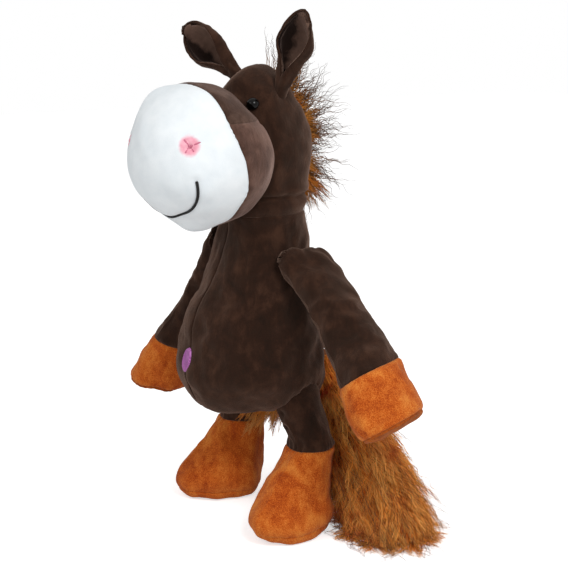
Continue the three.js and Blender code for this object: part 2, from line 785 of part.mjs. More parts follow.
const horse = new THREE.Group();
makeHead();
makeMuzzle();
makeMane();
for (const [name, side] of bothSides) headGroup.add(makeEar(name, side));
horse.add(makeTorso(), headGroup, makeTail());
for (const [name, side] of bothSides) horse.add(makeArm(name, side), makeLeg(name, side));

// The part's origin is the centre of its footprint, at floor level.
const bounds = new THREE.Box3().setFromObject(horse, true);
const centre = bounds.getCenter(new THREE.Vector3());
horse.position.set(-centre.x, -centre.y, -bounds.min.z);
const part = new THREE.Group();
part.add(horse);

export default part;
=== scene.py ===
"""A standing plush horse: sewn and stuffed panels, hoof mittens, and a faux-fur mane and tail."""
import json
import math
from contextlib import contextmanager
import bmesh
import bpy
import numpy as np
from mathutils import Matrix, Vector
from mathutils.kdtree import KDTree


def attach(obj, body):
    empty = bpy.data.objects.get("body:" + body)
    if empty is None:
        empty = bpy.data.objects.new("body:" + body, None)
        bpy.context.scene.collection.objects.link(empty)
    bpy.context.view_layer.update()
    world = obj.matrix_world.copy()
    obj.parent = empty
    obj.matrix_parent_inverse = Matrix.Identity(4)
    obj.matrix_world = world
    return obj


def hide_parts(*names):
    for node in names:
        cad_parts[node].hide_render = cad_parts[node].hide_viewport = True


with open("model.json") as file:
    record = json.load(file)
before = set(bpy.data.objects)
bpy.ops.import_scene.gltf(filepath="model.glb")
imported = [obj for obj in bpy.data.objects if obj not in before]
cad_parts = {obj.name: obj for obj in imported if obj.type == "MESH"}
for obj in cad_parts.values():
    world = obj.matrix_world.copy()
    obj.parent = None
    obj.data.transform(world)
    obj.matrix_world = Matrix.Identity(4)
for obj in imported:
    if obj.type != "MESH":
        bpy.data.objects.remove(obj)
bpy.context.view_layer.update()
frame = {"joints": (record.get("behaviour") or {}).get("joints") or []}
MM = 0.001
TAU = 2 * np.pi
SIDES = (("left", 1), ("right", -1))

# Sizes in millimetres and angles in degrees, in the horse's own frame, whose Z axis runs up the neck
PANEL, FABRIC = 1.6, 3.6  # a panel's thickness, and how deep the fibre lies behind its outside
NECK_HEIGHT, NECK_RADIUS, NECK_TURN = 190, 27.5, 12
BELLY_BOTTOM, BELLY_HEIGHT, BELLY_WIDTH, BELLY_FRONT, BELLY_BACK = 65, 99, 42.5, 50, 40
TEMPLE_HEIGHT, TEMPLE_WIDTH, TEMPLE_BACK = 224, 31, 33
BROW_HEIGHT, BROW_RADIUS, CROWN_HEIGHT = 252, 23.5, 272
MUZZLE_RADIUS, MUZZLE_FORWARD, MUZZLE_HEIGHT, MUZZLE_DROOP, MUZZLE_SEAM = 42, 44, 225, 6, 3
CHEEK_SEAM_HEIGHT = MUZZLE_HEIGHT + 20
EYE_HEIGHT, EYE_BEARING, EYE_TILT, EYE_RADIUS, EYE_DOME = 253, 41, 30, 3.6, 3.0
NOSTRIL_BEARING, NOSTRIL_RISE = 43.5, 18
SMILE_HALF_WIDTH, SMILE_CORNER_DROP, SMILE_DEPTH = 29.7, 6.8, 25.7
NAVEL_HEIGHT, NAVEL_HALF_WIDTH, NAVEL_HALF_HEIGHT = 104, 3.9, 7.2
EAR_LENGTH, EAR_FOOT, EAR_HALF_SPACING, EAR_BACK, EAR_DROP, EAR_STAGGER = 48, -8.5, 20, 2, 6.5, 2.5
EAR_FACING = 8
EAR_POSES = {"left": (23, 1), "right": (54, 8)}  # splay and lean
EAR_LENGTH_SHARES = {"left": 0.96, "right": 1.0}
SHOULDER = (27.8, 10, 160)
PATCH_RADIUS, RIM_WIDTH, FLARE = 12, 5, 11.6
ARM_LENGTH, ARM_CUFF, ARM_SOLE, ARM_STAND_OFF = 114, 76, 5, 9.5
ARM_POSES = {"left": (46, 2), "right": (30, -17)}  # splay and swing
HIP = (28.5, 9, 78)
HIP_BALL, HIP_OPENING = 15, 14.7
LEG_CUFF, LEG_SOLE, TOE_OUT = 52, 6, 15
TAIL_HEIGHT, TAIL_ROOT, TAIL_FLOOR = 93, 6.5, -92.5


def shift(x, y, z):
    return Matrix.Translation((x * MM, y * MM, z * MM))


def turn(degrees, axis):
    return Matrix.Rotation(math.radians(degrees), 4, axis)


def mirrored(place, side):
    """A place or way of the left side, on the left for 1 and on the right for -1."""
    return np.array(place, float) * (side, 1, 1)


def ear_root(side):
    return np.array([side * EAR_HALF_SPACING, EAR_BACK, CROWN_HEIGHT - EAR_DROP - side * EAR_STAGGER])


# Frames of the groups. The part's own frame has its origin between the feet, beside the neck's axis.
NECK = next(joint["pos_m"] for joint in frame["joints"] if joint["name"] == "neck_turn")
ORIGIN = Matrix.Translation((NECK[0], NECK[1], 0))
HEAD = ORIGIN @ turn(NECK_TURN, "Z")
MUZZLE = HEAD @ shift(0, -MUZZLE_FORWARD, MUZZLE_HEIGHT) @ turn(90 + MUZZLE_DROOP, "X")
TAIL = ORIGIN @ shift(0, BELLY_BACK + TAIL_ROOT + 0.3, TAIL_HEIGHT)
EARS, ARMS, LEGS = {}, {}, {}
for label, side in SIDES:
    splay, lean = EAR_POSES[label]
    foot = HEAD @ shift(*ear_root(side)) @ turn(side * splay, "Y") @ turn(lean, "X")
    EARS[label] = foot @ turn(EAR_FACING, "Z")
    splay, swing = ARM_POSES[label]
    top = shift(side * (SHOULDER[0] + ARM_STAND_OFF), SHOULDER[1], SHOULDER[2])
    ARMS[label] = ORIGIN @ top @ turn(swing, "X") @ turn(-side * splay, "Y")
    LEGS[label] = ORIGIN @ shift(*mirrored(HIP, side)) @ turn(side * TOE_OUT, "Z")


# Points and fields
def placed(points, matrix):
    """Points in millimetres of a group's frame, in metres of the part's frame."""
    m = np.array(matrix)
    return np.asarray(points) * MM @ m[:3, :3].T + m[:3, 3]


def local(points, matrix):
    m = np.array(matrix.inverted())
    return (np.asarray(points) @ m[:3, :3].T + m[:3, 3]) / MM


def between(points, source, target):
    return local(placed(points, source), target)


def unit(v):
    return v / np.maximum(np.linalg.norm(v, axis=-1, keepdims=True), 1e-9)


def distance(points, place):
    return np.linalg.norm(points - place, axis=-1)


def bell(gap, width):
    """1 where there is no gap, fading out over about that width."""
    return np.exp(-((gap / width) ** 2))


def fade(value, start, end):
    """A share that goes from 0 at start to 1 at end."""
    return np.clip((value - start) / (end - start), 0, 1)


def waves(points, size, seed, count=22):
    """A smooth random field with a deviation of 1 and lumps of about that size."""
    rng = np.random.default_rng(seed)
    ways = unit(rng.normal(size=(count, 3))) * (TAU / size * rng.uniform(0.6, 1.5, (count, 1)))
    return np.sin(points @ ways.T + rng.uniform(0, TAU, count)).sum(-1) / math.sqrt(count / 2)


def lumps(points, *parts):
    """Random fields added up, each told by its height, its size and its seed."""
    return sum(height * waves(points, size, seed) for height, size, seed in parts)


def groove(gap, depth, width):
    """The dip of a sewn seam, with the stuffing swelling on both its sides."""
    d = np.abs(gap)
    return -0.8 * depth * np.exp(-d / width) + 0.12 * depth * bell(d - 4 * width, 3 * width)


def fold(points, start, end, depth, width):
    """A crease along a line, deepest in its middle, with a soft ridge on both sides."""
    a, b = np.array(start, float), np.array(end, float)
    t = np.clip(((points - a) @ (b - a)) / ((b - a) @ (b - a)), 0, 1)
    d = np.linalg.norm(points - a - t[..., None] * (b - a), axis=-1)
    ends = np.sqrt(np.clip(1 - np.abs(2 * t - 0.9) ** 2.5, 0.02, 1))
    return ends * depth * (0.45 * bell(d - 2 * width, width) - bell(d, width))


def bulges(ways, parts):
    """Swellings on both sides, each told by the way to its middle, its height and its width in radians."""
    swell = 0
    for way, height, width in parts:
        share = 0.5 if abs(way[0]) < 0.01 else 1
        for _, side in SIDES:
            gap = np.arccos(np.clip(ways @ unit(mirrored(way, side)), -1, 1))
            swell += share * height * bell(gap, width)
    return swell


# Stuffed forms: rows of height, half width, front, back, side shift and back shift, as smooth curves
def catmull(rows, t):
    rows = np.array(rows, float)
    place = np.clip(t, 0, 1) * (len(rows) - 1)
    i = np.minimum(place.astype(int), len(rows) - 2)
    w = (place - i)[:, None]
    padded = np.vstack([2 * rows[0] - rows[1], rows, 2 * rows[-1] - rows[-2]])
    p0, p1, p2, p3 = padded[i], padded[i + 1], padded[i + 2], padded[i + 3]
    v0, v1 = (p2 - p0) / 2, (p3 - p1) / 2
    cube = (2 * p1 - 2 * p2 + v0 + v1) * w**3 + (-3 * p1 + 3 * p2 - 2 * v0 - v1) * w**2
    return cube + v0 * w + p1


def six(row):
    return list(row) + [0] * (6 - len(row))


def ring(height, radius, side=0, back=0):
    return [height, radius, radius, radius, side, back]


def sizes_at(rows, height, *columns, samples=2000):
    """Columns of a form's rows, read off its smooth curve at some heights."""
    table = catmull(rows, np.linspace(0, 1, samples))
    return [np.interp(height, table[:, 0], table[:, k]) for k in columns]


def surface(rows, t, angles):
    """The form's points, one row of them for each t."""
    h, w, front, back, sx, sy = catmull(rows, t).T[:, :, None]
    a = angles[None, :]
    depth = np.where(np.sin(a) < 0, front, back)
    return np.stack([sx + w * np.cos(a), sy + depth * np.sin(a), h + 0 * a], -1)


def reach_of(rows, points):
    """How far points of a form's own frame lie outside it, roughly, and inside it if negative."""
    x, y, z = np.moveaxis(points, -1, 0)
    w, f, b = sizes_at(rows, z, 1, 2, 3, samples=1500)
    depth = np.where(y < 0, f, b)
    a = np.arctan2(y, x)
    edge = 1 / np.sqrt((np.cos(a) / np.maximum(w, 0.1)) ** 2 + (np.sin(a) / np.maximum(depth, 0.1)) ** 2)
    past = np.maximum(z - rows[-1][0], 0) + np.maximum(rows[0][0] - z, 0)
    return np.hypot(x, y) - edge + past


def edge_of(rows, point_at, low, high, tries):
    """How far along a way that starts inside a form its surface lies."""
    for _ in range(tries):
        middle = (low + high) / 2
        inside = reach_of(rows, point_at(middle)) < 0
        low, high = np.where(inside, middle, low), np.where(inside, high, middle)
    return low


FINE_STEPS = (0.3, 0.7, 1.2, 1.9, 2.8)  # from a seam


def stations(total, marks, coarse):
    """Places from 0 to total, about coarse apart and closer round the marks."""
    reach = FINE_STEPS[-1] + 0.6 * coarse
    base = [s for s in np.linspace(0, total, max(2, math.ceil(total / coarse) + 1))
            if all(abs(s - m) > reach for m in marks) or s in (0, total)]
    near = [m + sign * f for m in marks for f in (0, *FINE_STEPS) for sign in (-1, 1)]
    out = sorted(set(round(s, 5) for s in base + [s for s in near if 0 <= s <= total]))
    return np.array([s for i, s in enumerate(out) if i == 0 or s - out[i - 1] > 0.05])


class Form:
    """A grid on a stuffed form, between two heights or its poles, with rings and columns along its seams.

    Its columns start at the front seam, and the back seam lies opposite.
    """

    def __init__(self, rows, matrix, low=None, high=None, ring_seams=(), coarse=1.7):
        rows = [six(r) for r in rows]
        self.matrix = matrix
        t = np.linspace(0, 1, 3000)
        table = catmull(rows, t)
        mean = (2 * table[:, 1] + table[:, 2] + table[:, 3]) / 4
        arc = np.concatenate([[0], np.cumsum(np.hypot(np.diff(table[:, 0]), np.diff(mean)))])
        self.place = lambda height: float(np.interp(height, table[:, 0], arc))
        start = 0 if low is None else self.place(low)
        end = arc[-1] if high is None else self.place(high)
        marks = [self.place(h) for h in ring_seams]
        ends = [m for m, h in ((start, low), (end, high)) if h is not None]
        self.rings = stations(end - start, [m - start for m in marks + ends], coarse) + start
        self.poles = [(at, sign) for at, sign, h in ((0, -1, low), (-1, 1, high)) if h is None]
        self.seam_rings = [int(np.argmin(np.abs(self.rings - m))) for m in marks]
        around = TAU * mean.max()
        self.angles = stations(around, [0, around / 2, around], coarse)[:-1] / around * TAU - np.pi / 2
        self.points = surface(rows, np.interp(self.rings, arc, t), self.angles)
        self.radius = np.maximum(distance(self.points, self.points.mean(1, keepdims=True)), 0.5)
        self.gaps = [np.abs((self.angles - seam + np.pi) % TAU - np.pi) for seam in (-np.pi / 2, np.pi / 2)]
        self.seam_columns = [int(np.argmin(gap)) for gap in self.gaps]
        self.normals = self.find_normals()

    def find_normals(self):
        around = np.roll(self.points, -1, 1) - np.roll(self.points, 1, 1)
        n = np.cross(around, np.gradient(self.points, axis=0))
        for at, sign in self.poles:
            n[at] = [0, 0, sign]
        return unit(n)

    def to_seam(self, k):
        """Distance round the form from its front seam, for 0, or its back seam, for 1."""
        return self.gaps[k][None, :] * self.radius

    def to_place(self, place):
        return np.abs(self.rings - place)[:, None] + 0 * self.radius

    def to_ring(self, height):
        return self.to_place(self.place(height))

    def push(self, amount):
        self.points = self.points + self.normals * amount[..., None]
        self.normals = self.find_normals()
        self.inner = self.points - self.normals * FABRIC


# Meshes
def linked(name, data):
    obj = bpy.data.objects.new(name, data)
    bpy.context.scene.collection.objects.link(obj)
    return obj


def new_object(name, points, faces):
    mesh = bpy.data.meshes.new(name)
    mesh.from_pydata(np.asarray(points).tolist(), [], faces)
    mesh.validate()
    mesh.shade_smooth()
    return linked(name, mesh)


@contextmanager
def edited(obj):
    bm = bmesh.new()
    bm.from_mesh(obj.data)
    yield bm
    bm.to_mesh(obj.data)
    bm.free()


def recalculated(obj):
    with edited(obj) as bm:
        bmesh.ops.recalc_face_normals(bm, faces=bm.faces)
    return obj


def merged(obj, reach=1e-6):
    """Makes points that lie together one, and drops those that no face needs."""
    with edited(obj) as bm:
        bmesh.ops.remove_doubles(bm, verts=bm.verts, dist=reach)
        bmesh.ops.delete(bm, geom=[v for v in bm.verts if not v.link_faces], context="VERTS")
    return obj


def thickened(obj, thick):
    """Gives fabric its thickness, inwards from the outside that is modelled."""
    shell = obj.modifiers.new("thickness", "SOLIDIFY")
    shell.thickness, shell.offset = thick * MM, -1
    return obj


def grid_faces(rows, columns, closed=True, capped=False):
    """The faces of a grid of points, which may close round on itself and have a lid at both ends."""
    faces = [(i * columns + j, i * columns + (j + 1) % columns,
              (i + 1) * columns + (j + 1) % columns, (i + 1) * columns + j)
             for i in range(rows - 1) for j in range(columns if closed else columns - 1)]
    lids = [tuple(range(columns))[::-1], tuple(range((rows - 1) * columns, rows * columns))]
    return faces + lids * capped


def panel(name, form, rings=(0, None), columns=None, thick=PANEL, keep=None):
    """The part of a form's grid between two rings and from a column on for so many, as fabric."""
    first, last = rings[0], len(form.rings) - 1 if rings[1] is None else rings[1]
    wide = form.points.shape[1]
    start, count = columns or (0, wide - 1)
    use = [(start + j) % wide for j in range(count + 1)]
    p = placed(form.points[first:last + 1][:, use], form.matrix)
    faces = grid_faces(*p.shape[:2], closed=columns is None)
    if keep is not None:
        shown = keep[first:last + 1][:, use].reshape(-1)
        faces = [f for f in faces if shown[list(f)].any()]
    obj = merged(new_object(name, p.reshape(-1, 3), faces))
    return thickened(obj, thick) if thick else obj


def dress(obj, body, material, nodes=()):
    obj.data.materials.clear()
    obj.data.materials.append(material)
    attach(obj, body)
    if nodes:
        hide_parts(*nodes)
    return obj


def two_halves(form, body, keep=None):
    """The left and right panels of a form, which meet in its front and back seams."""
    back = form.seam_columns[1]
    for label, columns in (("left", (0, back)), ("right", (back, form.points.shape[1] - back))):
        half = panel(f"{body}_{label}_panel", form, columns=columns, keep=keep)
        dress(half, body, BROWN, [f"{body}_{label}_skin"])


def core(name, form, body, node):
    """The fibre that fills a form, just inside its fabric, on every second ring and column of its grid."""
    rows = sorted({*range(0, len(form.inner), 2), len(form.inner) - 1})
    q = placed(form.inner[rows][:, ::2], form.matrix)
    obj = new_object(name, q.reshape(-1, 3), grid_faces(*q.shape[:2], capped=True))
    dress(obj, body, FILLING, [node])


def limb(form, label, name, pieces):
    """Dresses an arm or leg in its three panels, from the sole to the top, and fills it."""
    first, second = form.seam_rings
    for (piece, material, slot), rings in zip(pieces, ((0, first), (first, second), (second, None))):
        obj = panel(f"{label}_{piece}_panel", form, rings)
        dress(obj, f"{label}_{name}", material, [f"{label}_{piece}"])
    core(f"{label}_{name}_fibre", form, f"{label}_{name}", f"{label}_{name}_filling")


# Cloth
def picked(places, count, kept):
    """Indices of about count places, evenly spread, with the kept ones among them."""
    goals = np.linspace(places[0], places[-1], count)
    return np.array(sorted({int(np.argmin(np.abs(places - g))) for g in goals} | set(kept)))


def pressed_out(points, pinned, growth=0.02, stiffness=2, pressure=4, frames=20):
    """How far the points of a tube of cloth, a grid in metres, move when it is pumped up."""
    piece = new_object("cloth", points.reshape(-1, 3), grid_faces(*points.shape[:2]))
    piece.vertex_groups.new(name="held").add([int(v) for v in np.flatnonzero(pinned)], 1.0, "ADD")
    cloth = piece.modifiers.new("cloth", "CLOTH").settings
    cloth.vertex_group_mass = "held"
    cloth.use_pressure, cloth.uniform_pressure_force = True, pressure
    cloth.effector_weights.gravity = 0
    cloth.shrink_min = -growth
    cloth.bending_stiffness = stiffness
    for f in range(1, frames + 1):
        bpy.context.scene.frame_set(f)
    mesh = piece.evaluated_get(bpy.context.evaluated_depsgraph_get()).data
    moved = np.array([v.co for v in mesh.vertices]).reshape(points.shape) - points
    bpy.context.scene.frame_set(1)
    bpy.data.objects.remove(piece)
    return moved


def swollen(form, held, cap=1.3, step=4.5):
    """Lets the stuffing press a form's fabric out as cloth that its seams hold, by cap at most.

    held is a share for each point, from 0 where the fabric is free to 1 where it stays put. The cloth is a
    coarse grid of points about a step apart, and the form's own points move as it does.
    """
    wide = np.flatnonzero(form.radius.mean(1) > 3)
    first, last = wide[0], wide[-1]
    kept = [r - first for r in form.seam_rings if first <= r <= last]
    rows = picked(form.rings[wide], round((form.rings[last] - form.rings[first]) / step), kept) + first
    columns = picked(form.angles, round(TAU * np.median(form.radius) / step), form.seam_columns)
    to_rings = [form.to_place(form.rings[r]) for r in form.seam_rings]
    near = np.minimum.reduce([form.to_seam(0), form.to_seam(1), *to_rings])
    free = (1 - np.exp(-near / 5)) * (1 - held)
    start = form.points - form.normals * (0.5 * cap * free)[..., None]
    pinned = (held[rows][:, columns] > 0.9) | (near[rows][:, columns] < 0.1)
    pinned[[0, -1]] = True
    moved = pressed_out(placed(start[rows][:, columns], form.matrix), pinned)
    moved = moved @ np.array(form.matrix)[:3, :3] / MM
    moved *= cap / np.maximum(cap, np.percentile(np.linalg.norm(moved, axis=-1), 97))
    moved *= np.minimum(1, cap / np.maximum(np.linalg.norm(moved, axis=-1), 1e-6))[..., None]
    down = np.stack([[np.interp(form.rings, form.rings[rows], moved[:, j, k]) for k in range(3)]
                     for j in range(len(columns))])
    full = np.stack([[np.interp(form.angles, form.angles[columns], down[:, k, i], period=TAU)
                      for k in range(3)] for i in range(len(form.rings))]).transpose(0, 2, 1)
    moved = start + full * (1 - held)[..., None] - form.points
    out = (moved * form.normals).sum(-1)
    along = moved - out[..., None] * form.normals
    form.inner = form.points - form.normals * (FABRIC + 0.6 * cap)
    form.points = form.points + 0.4 * along + form.normals * np.clip(out, -0.6 * cap, cap)[..., None]
    form.normals = form.find_normals()


# Materials
def srgb(code):
    """A colour written as #rrggbb, in linear light."""
    value = [int(code[i:i + 2], 16) / 255 for i in (1, 3, 5)]
    return [v / 12.92 if v <= 0.04045 else ((v + 0.055) / 1.055) ** 2.4 for v in value] + [1]


class Nodes:
    """Short ways to add nodes to a tree, where a socket is linked and any other value is set."""

    def __init__(self, tree):
        self.nodes, self.links = tree.nodes, tree.links

    def feed(self, socket, value):
        if isinstance(value, bpy.types.NodeSocket):
            self.links.new(value, socket)
        else:
            socket.default_value = value

    def add(self, kind, sockets=None, **values):
        node = self.nodes.new(kind)
        for key, value in values.items():
            setattr(node, key, value)
        for key, value in (sockets or {}).items():
            self.feed(node.inputs[key], value)
        return node

    def math(self, operation, a, b=0.5, clamp=False):
        return self.add("ShaderNodeMath", {0: a, 1: b}, operation=operation, use_clamp=clamp).outputs[0]

    def scaled(self, value, factor, plus=0.0, clamp=False):
        return self.math("ADD", self.math("MULTIPLY", value, factor), plus, clamp)

    def centred(self, value, factor):
        return self.math("MULTIPLY", self.math("SUBTRACT", value, 0.5), factor)

    def weighed(self, a, a_share, b, b_share):
        return self.math("ADD", self.math("MULTIPLY", a, a_share), self.math("MULTIPLY", b, b_share))

    def vector(self, operation, a, b, output=0):
        return self.add("ShaderNodeVectorMath", {0: a, 1: tuple(b)}, operation=operation).outputs[output]

    def ramp(self, value, *stops):
        node = self.add("ShaderNodeValToRGB", {"Fac": value})
        elements = node.color_ramp.elements
        for k, (place, colour) in enumerate((stops[0], stops[-1], *stops[1:-1])):
            element = elements[k] if k < 2 else elements.new(place)
            if k < 2:
                element.position = place
            element.color = srgb(colour) if isinstance(colour, str) else colour
        return node.outputs["Color"]

    def mix(self, share, a, b, blend="MIX"):
        node = self.add("ShaderNodeMix", {"Factor": share}, data_type="RGBA", blend_type=blend)
        self.feed(node.inputs[6], a)
        self.feed(node.inputs[7], b)
        return node.outputs[2]

    def white_rays(self):
        """1 for the rays that see the studio's white: the camera's own, and those in gloss and glass."""
        seen = self.add("ShaderNodeLightPath").outputs
        clear = self.math("MAXIMUM", seen["Is Glossy Ray"], seen["Is Transmission Ray"])
        return self.math("MAXIMUM", seen["Is Camera Ray"], clear)


class Shader(Nodes):
    """A material. Its sizes are in millimetres."""

    def __init__(self, name, rough=0.5, gloss=0.5, sheen=0.0, sheen_rough=0.5, tint=(1, 1, 1, 1)):
        self.material = bpy.data.materials.new(name)
        self.material.use_nodes = True
        super().__init__(self.material.node_tree)
        self.base = self.nodes["Principled BSDF"]
        self.set(Roughness=rough, Specular_IOR_Level=gloss, Sheen_Weight=sheen, Sheen_Roughness=sheen_rough,
                 Sheen_Tint=tint)
        self.coords = self.add("ShaderNodeTexCoord").outputs["Object"]

    def set(self, **sockets):
        for key, value in sockets.items():
            self.feed(self.base.inputs[key.replace("_", " ")], value)
        return self.material

    def stretched(self, scale, rotation=(0, 0, 0)):
        sockets = {"Vector": self.coords, "Scale": scale, "Rotation": rotation}
        return self.add("ShaderNodeMapping", sockets).outputs[0]

    def noise(self, size, detail=3, roughness=0.55, distortion=0, coords=None):
        sockets = {"Vector": coords or self.coords, "Scale": 1 / (size * MM), "Detail": detail,
                   "Roughness": roughness, "Distortion": distortion}
        return self.add("ShaderNodeTexNoise", sockets).outputs["Fac"]

    def bands(self, pitch, way="X", coords=None, **sockets):
        """Parallel ridges at about that pitch."""
        sockets = {"Vector": coords or self.coords, "Scale": 0.31 / (pitch * MM),
                   **{key.replace("_", " "): value for key, value in sockets.items()}}
        return self.add("ShaderNodeTexWave", sockets, wave_type="BANDS", bands_direction=way).outputs["Fac"]

    def bump(self, height, depth, strength=1.0, under=None):
        sockets = {"Height": height, "Distance": depth * MM, "Strength": strength}
        if under:
            sockets["Normal"] = under
        return self.add("ShaderNodeBump", sockets).outputs["Normal"]


def plush(name, dark, middle, light, patch, grain, sheen, tint, depth=0.35):
    """Short cut pile: brushed patches of lighter and darker nap over a fine grain of fibre ends."""
    s = Shader(name, 0.95, 0.06, sheen, 0.5, tint)
    nap = s.noise(patch, 3, 0.5, 0.8)
    brushed = s.noise(patch * 0.3, 3, 0.6, 0.5, s.stretched((1, 1, 0.45), (0.2, 0.1, 0.4)))
    mottle = s.weighed(nap, 0.62, brushed, 0.38)
    fibre = s.noise(0.55, 2, 0.6)
    tone = s.math("ADD", mottle, s.centred(fibre, grain))
    colour = s.ramp(tone, (0.31, dark), (0.5, middle), (0.69, light))
    fine = s.bump(fibre, depth, 0.6, s.bump(brushed, 0.9, 0.35))
    return s.set(Base_Color=colour, Roughness=s.scaled(mottle, 0.3, 0.75, clamp=True), Normal=fine)


def thread(name, dark, light, pitch, rotation=(0, 0, 0), rough=0.45):
    """Satin stitch: close, slightly glossy parallel threads."""
    s = Shader(name, rough, 0.25, 0.04, 0.3)
    lines = s.bands(pitch, coords=s.stretched((1, 1, 1), rotation), Distortion=1.2, Detail=1, Detail_Scale=2)
    colour = s.ramp(s.weighed(lines, 0.6, s.noise(3, 2), 0.5), (0.2, dark), (0.85, light))
    return s.set(Base_Color=colour, Normal=s.bump(lines, 0.12, 0.7))


def backing(name, dark, light):
    """Woven cloth."""
    s = Shader(name, 0.9, 0.2)
    weave = s.math("MULTIPLY", *[s.bands(0.7, way, Distortion=0.6) for way in ("X", "Z")])
    colour = s.ramp(s.weighed(weave, 0.5, s.noise(6), 0.5), (0.2, dark), (0.8, light))
    return s.set(Base_Color=colour, Normal=s.bump(weave, 0.2, 0.6))


def stuffing(name):
    """Loose white fibre in tufts."""
    s = Shader(name, 0.95, 0.1, 0.4, 0.5)
    tufts = s.noise(5, 5, 0.7, 1.5)
    colour = s.ramp(tufts, (0.3, "#d8d5cc"), (0.7, "#f7f5ef"))
    return s.set(Base_Color=colour, Normal=s.bump(tufts, 1.2, 0.7))


def moulded(name, dark, light, rough):
    s = Shader(name)
    colour = s.ramp(s.noise(1.5, 3), (0.3, dark), (0.7, light))
    grain = s.bump(s.noise(0.25, 2), 0.02, 0.3)
    return s.set(Base_Color=colour, Roughness=s.scaled(s.noise(0.6, 2), 0.15, rough), Normal=grain)


def eye_plastic():
    """Polished black plastic with a deep brown glow, and faint dust in its gloss."""
    s = Shader("eye plastic", 0.04, 0.15)
    colour = s.ramp(s.noise(2.2, 2), (0.35, "#030202"), (0.7, "#080504"))
    return s.set(Base_Color=colour, Roughness=s.scaled(s.noise(1.5, 2), 0.03, 0.015))


def fur(name, stops, patches, spread=0.35, drift=0.0):
    """Strands that change colour from root to tip, strand by strand and patch by patch.

    spread is how far a strand's colours wander along it, and drift lightens the patches towards +X.
    """
    s = Shader(name, 0.6, 0.15, 0.08, 0.4, (1, 0.7, 0.4, 1))
    strand = s.add("ShaderNodeAttribute", attribute_name="strand").outputs["Color"]
    along, lock, own = list(s.add("ShaderNodeSeparateColor", {"Color": strand}).outputs)[:3]
    colour = s.ramp(s.math("ADD", along, s.centred(lock, spread)), *stops)
    outward = s.add("ShaderNodeSeparateXYZ", {"Vector": s.coords}).outputs["X"]
    place = s.math("ADD", s.noise(15, 3, 0.5, 0.6), s.math("MULTIPLY", outward, drift))
    tone = s.mix(1, colour, s.ramp(place, (0.38, patches[0]), (0.62, patches[1])), "MULTIPLY")
    shade = s.ramp(own, (0, (0.72, 0.72, 0.72, 1)), (1, (1.25, 1.2, 1.15, 1)))
    return s.set(Base_Color=s.mix(1, tone, shade, "MULTIPLY"))


def undercoat(name):
    """Dense short pile beneath the strands."""
    s = Shader(name, 0.9, 0.08, 0.05, 0.4)
    pile = s.noise(1.1, 3, 0.6, 0.5, s.stretched((1, 1, 0.35)))
    tone = s.weighed(pile, 0.6, s.noise(16, 3), 0.4)
    colour = s.ramp(tone, (0.3, "#5a260b"), (0.5, "#8a4413"), (0.7, "#b06820"))
    return s.set(Base_Color=colour, Normal=s.bump(pile, 0.8, 0.9))


def ear_lining_painted_shade(label):
    """Lining pile in its own lighter colour on one half of the ear's hollow, with painted shade darkening the
    other half.
    """
    s = Shader(f"{label} ear lining plush with painted shade", 0.95, 0.06, 0.25, 0.5, (0.7, 0.5, 0.43, 1))
    ear = EARS[label]
    # Painted shade: a share across the ear, its edge wobbled by noise, paints one half of the hollow dark as
    # its shade; the lighter stops are the lining's own colour
    across = s.vector("DOT_PRODUCT", s.vector("SUBTRACT", s.coords, ear.translation), ear.col[0].xyz, "Value")
    nap = s.centred(s.noise(5, 3), 7 * MM)
    share = s.scaled(s.math("ADD", across, nap), 1 / (24 * MM), 0.68, clamp=True)
    colour = s.ramp(share, (0.1, "#2a1b15"), (0.3, "#160d0a"), (0.47, "#1a100c"), (0.58, "#513d34"),
                    (0.9, "#654e43"))
    return s.set(Base_Color=colour, Normal=s.bump(s.noise(0.55, 2, 0.6), 0.35, 0.6))


def white_front():
    """White pile, airbrushed pink round each nostril."""
    s = Shader("white plush front", 0.9, 0.15, 0.25, 0.4)
    nap = s.weighed(s.noise(26, 3, 0.5, 0.5), 0.6, s.noise(7, 3), 0.4)
    colour = s.ramp(nap, (0.3, "#e2e9ed"), (0.7, "#f3f7f9"))
    for side, size_share in ((1, 1.0), (-1, 0.72)):
        away = s.vector("DISTANCE", s.coords, placed(nostril_centre(side), MUZZLE), "Value")
        away = s.math("ADD", away, s.centred(s.noise(5, 2), 3 * MM))
        edges = {"From Min": 4.2 * size_share * MM, "From Max": 7 * size_share * MM,
                 "To Min": 0.92, "To Max": 0.0}
        spray = s.add("ShaderNodeMapRange", {"Value": away, **edges}, interpolation_type="SMOOTHSTEP")
        pink = s.ramp(s.noise(3, 2), (0.3, "#ee92a8"), (0.7, "#fbb6c4"))
        colour = s.mix(spray.outputs["Result"], colour, pink)
    fine = s.bump(s.noise(0.5, 2, 0.6), 0.2, 0.5, s.bump(nap, 0.6, 0.35))
    return s.set(Base_Color=colour, Normal=fine, Roughness=s.scaled(nap, 0.2, 0.78))


WARM = (1, 0.7, 0.4, 1)
BROWN = plush("brown plush", "#1c110b", "#2a1911", "#3f291e", 14, 0.2, 0.4, (0.66, 0.43, 0.33, 1))
BRIDGE = plush("bridge plush", "#2a1b15", "#402e26", "#5b463c", 13, 0.2, 0.35, (0.7, 0.5, 0.43, 1))
LINING = plush("brown plush lining", "#3a2720", "#543c33", "#6e5247", 13, 0.2, 0.45, (0.75, 0.55, 0.48, 1))
ORANGE = plush("orange plush", "#93370d", "#c15c1d", "#d98237", 15, 0.8, 0.2, WARM, 0.5)
RUST = plush("rust sole plush", "#7c340f", "#a04c18", "#b86222", 12, 0.6, 0.2, WARM, 0.5)
BACKING = backing("fur backing", "#5a3218", "#7d4a26")
MANE_BACKING = backing("mane backing", "#1c110c", "#332118")
FILLING = stuffing("fibre filling")
WASHER = moulded("washer plastic", "#d2cfc6", "#e4e1d8", 0.45)
EYE = eye_plastic()
SMILE_THREAD = thread("black satin stitch", "#040303", "#121010", 0.5, (0, 0, 0.5), 0.55)
PINK_THREAD = thread("pink thread", "#bd5c78", "#dc8da2", 0.4)
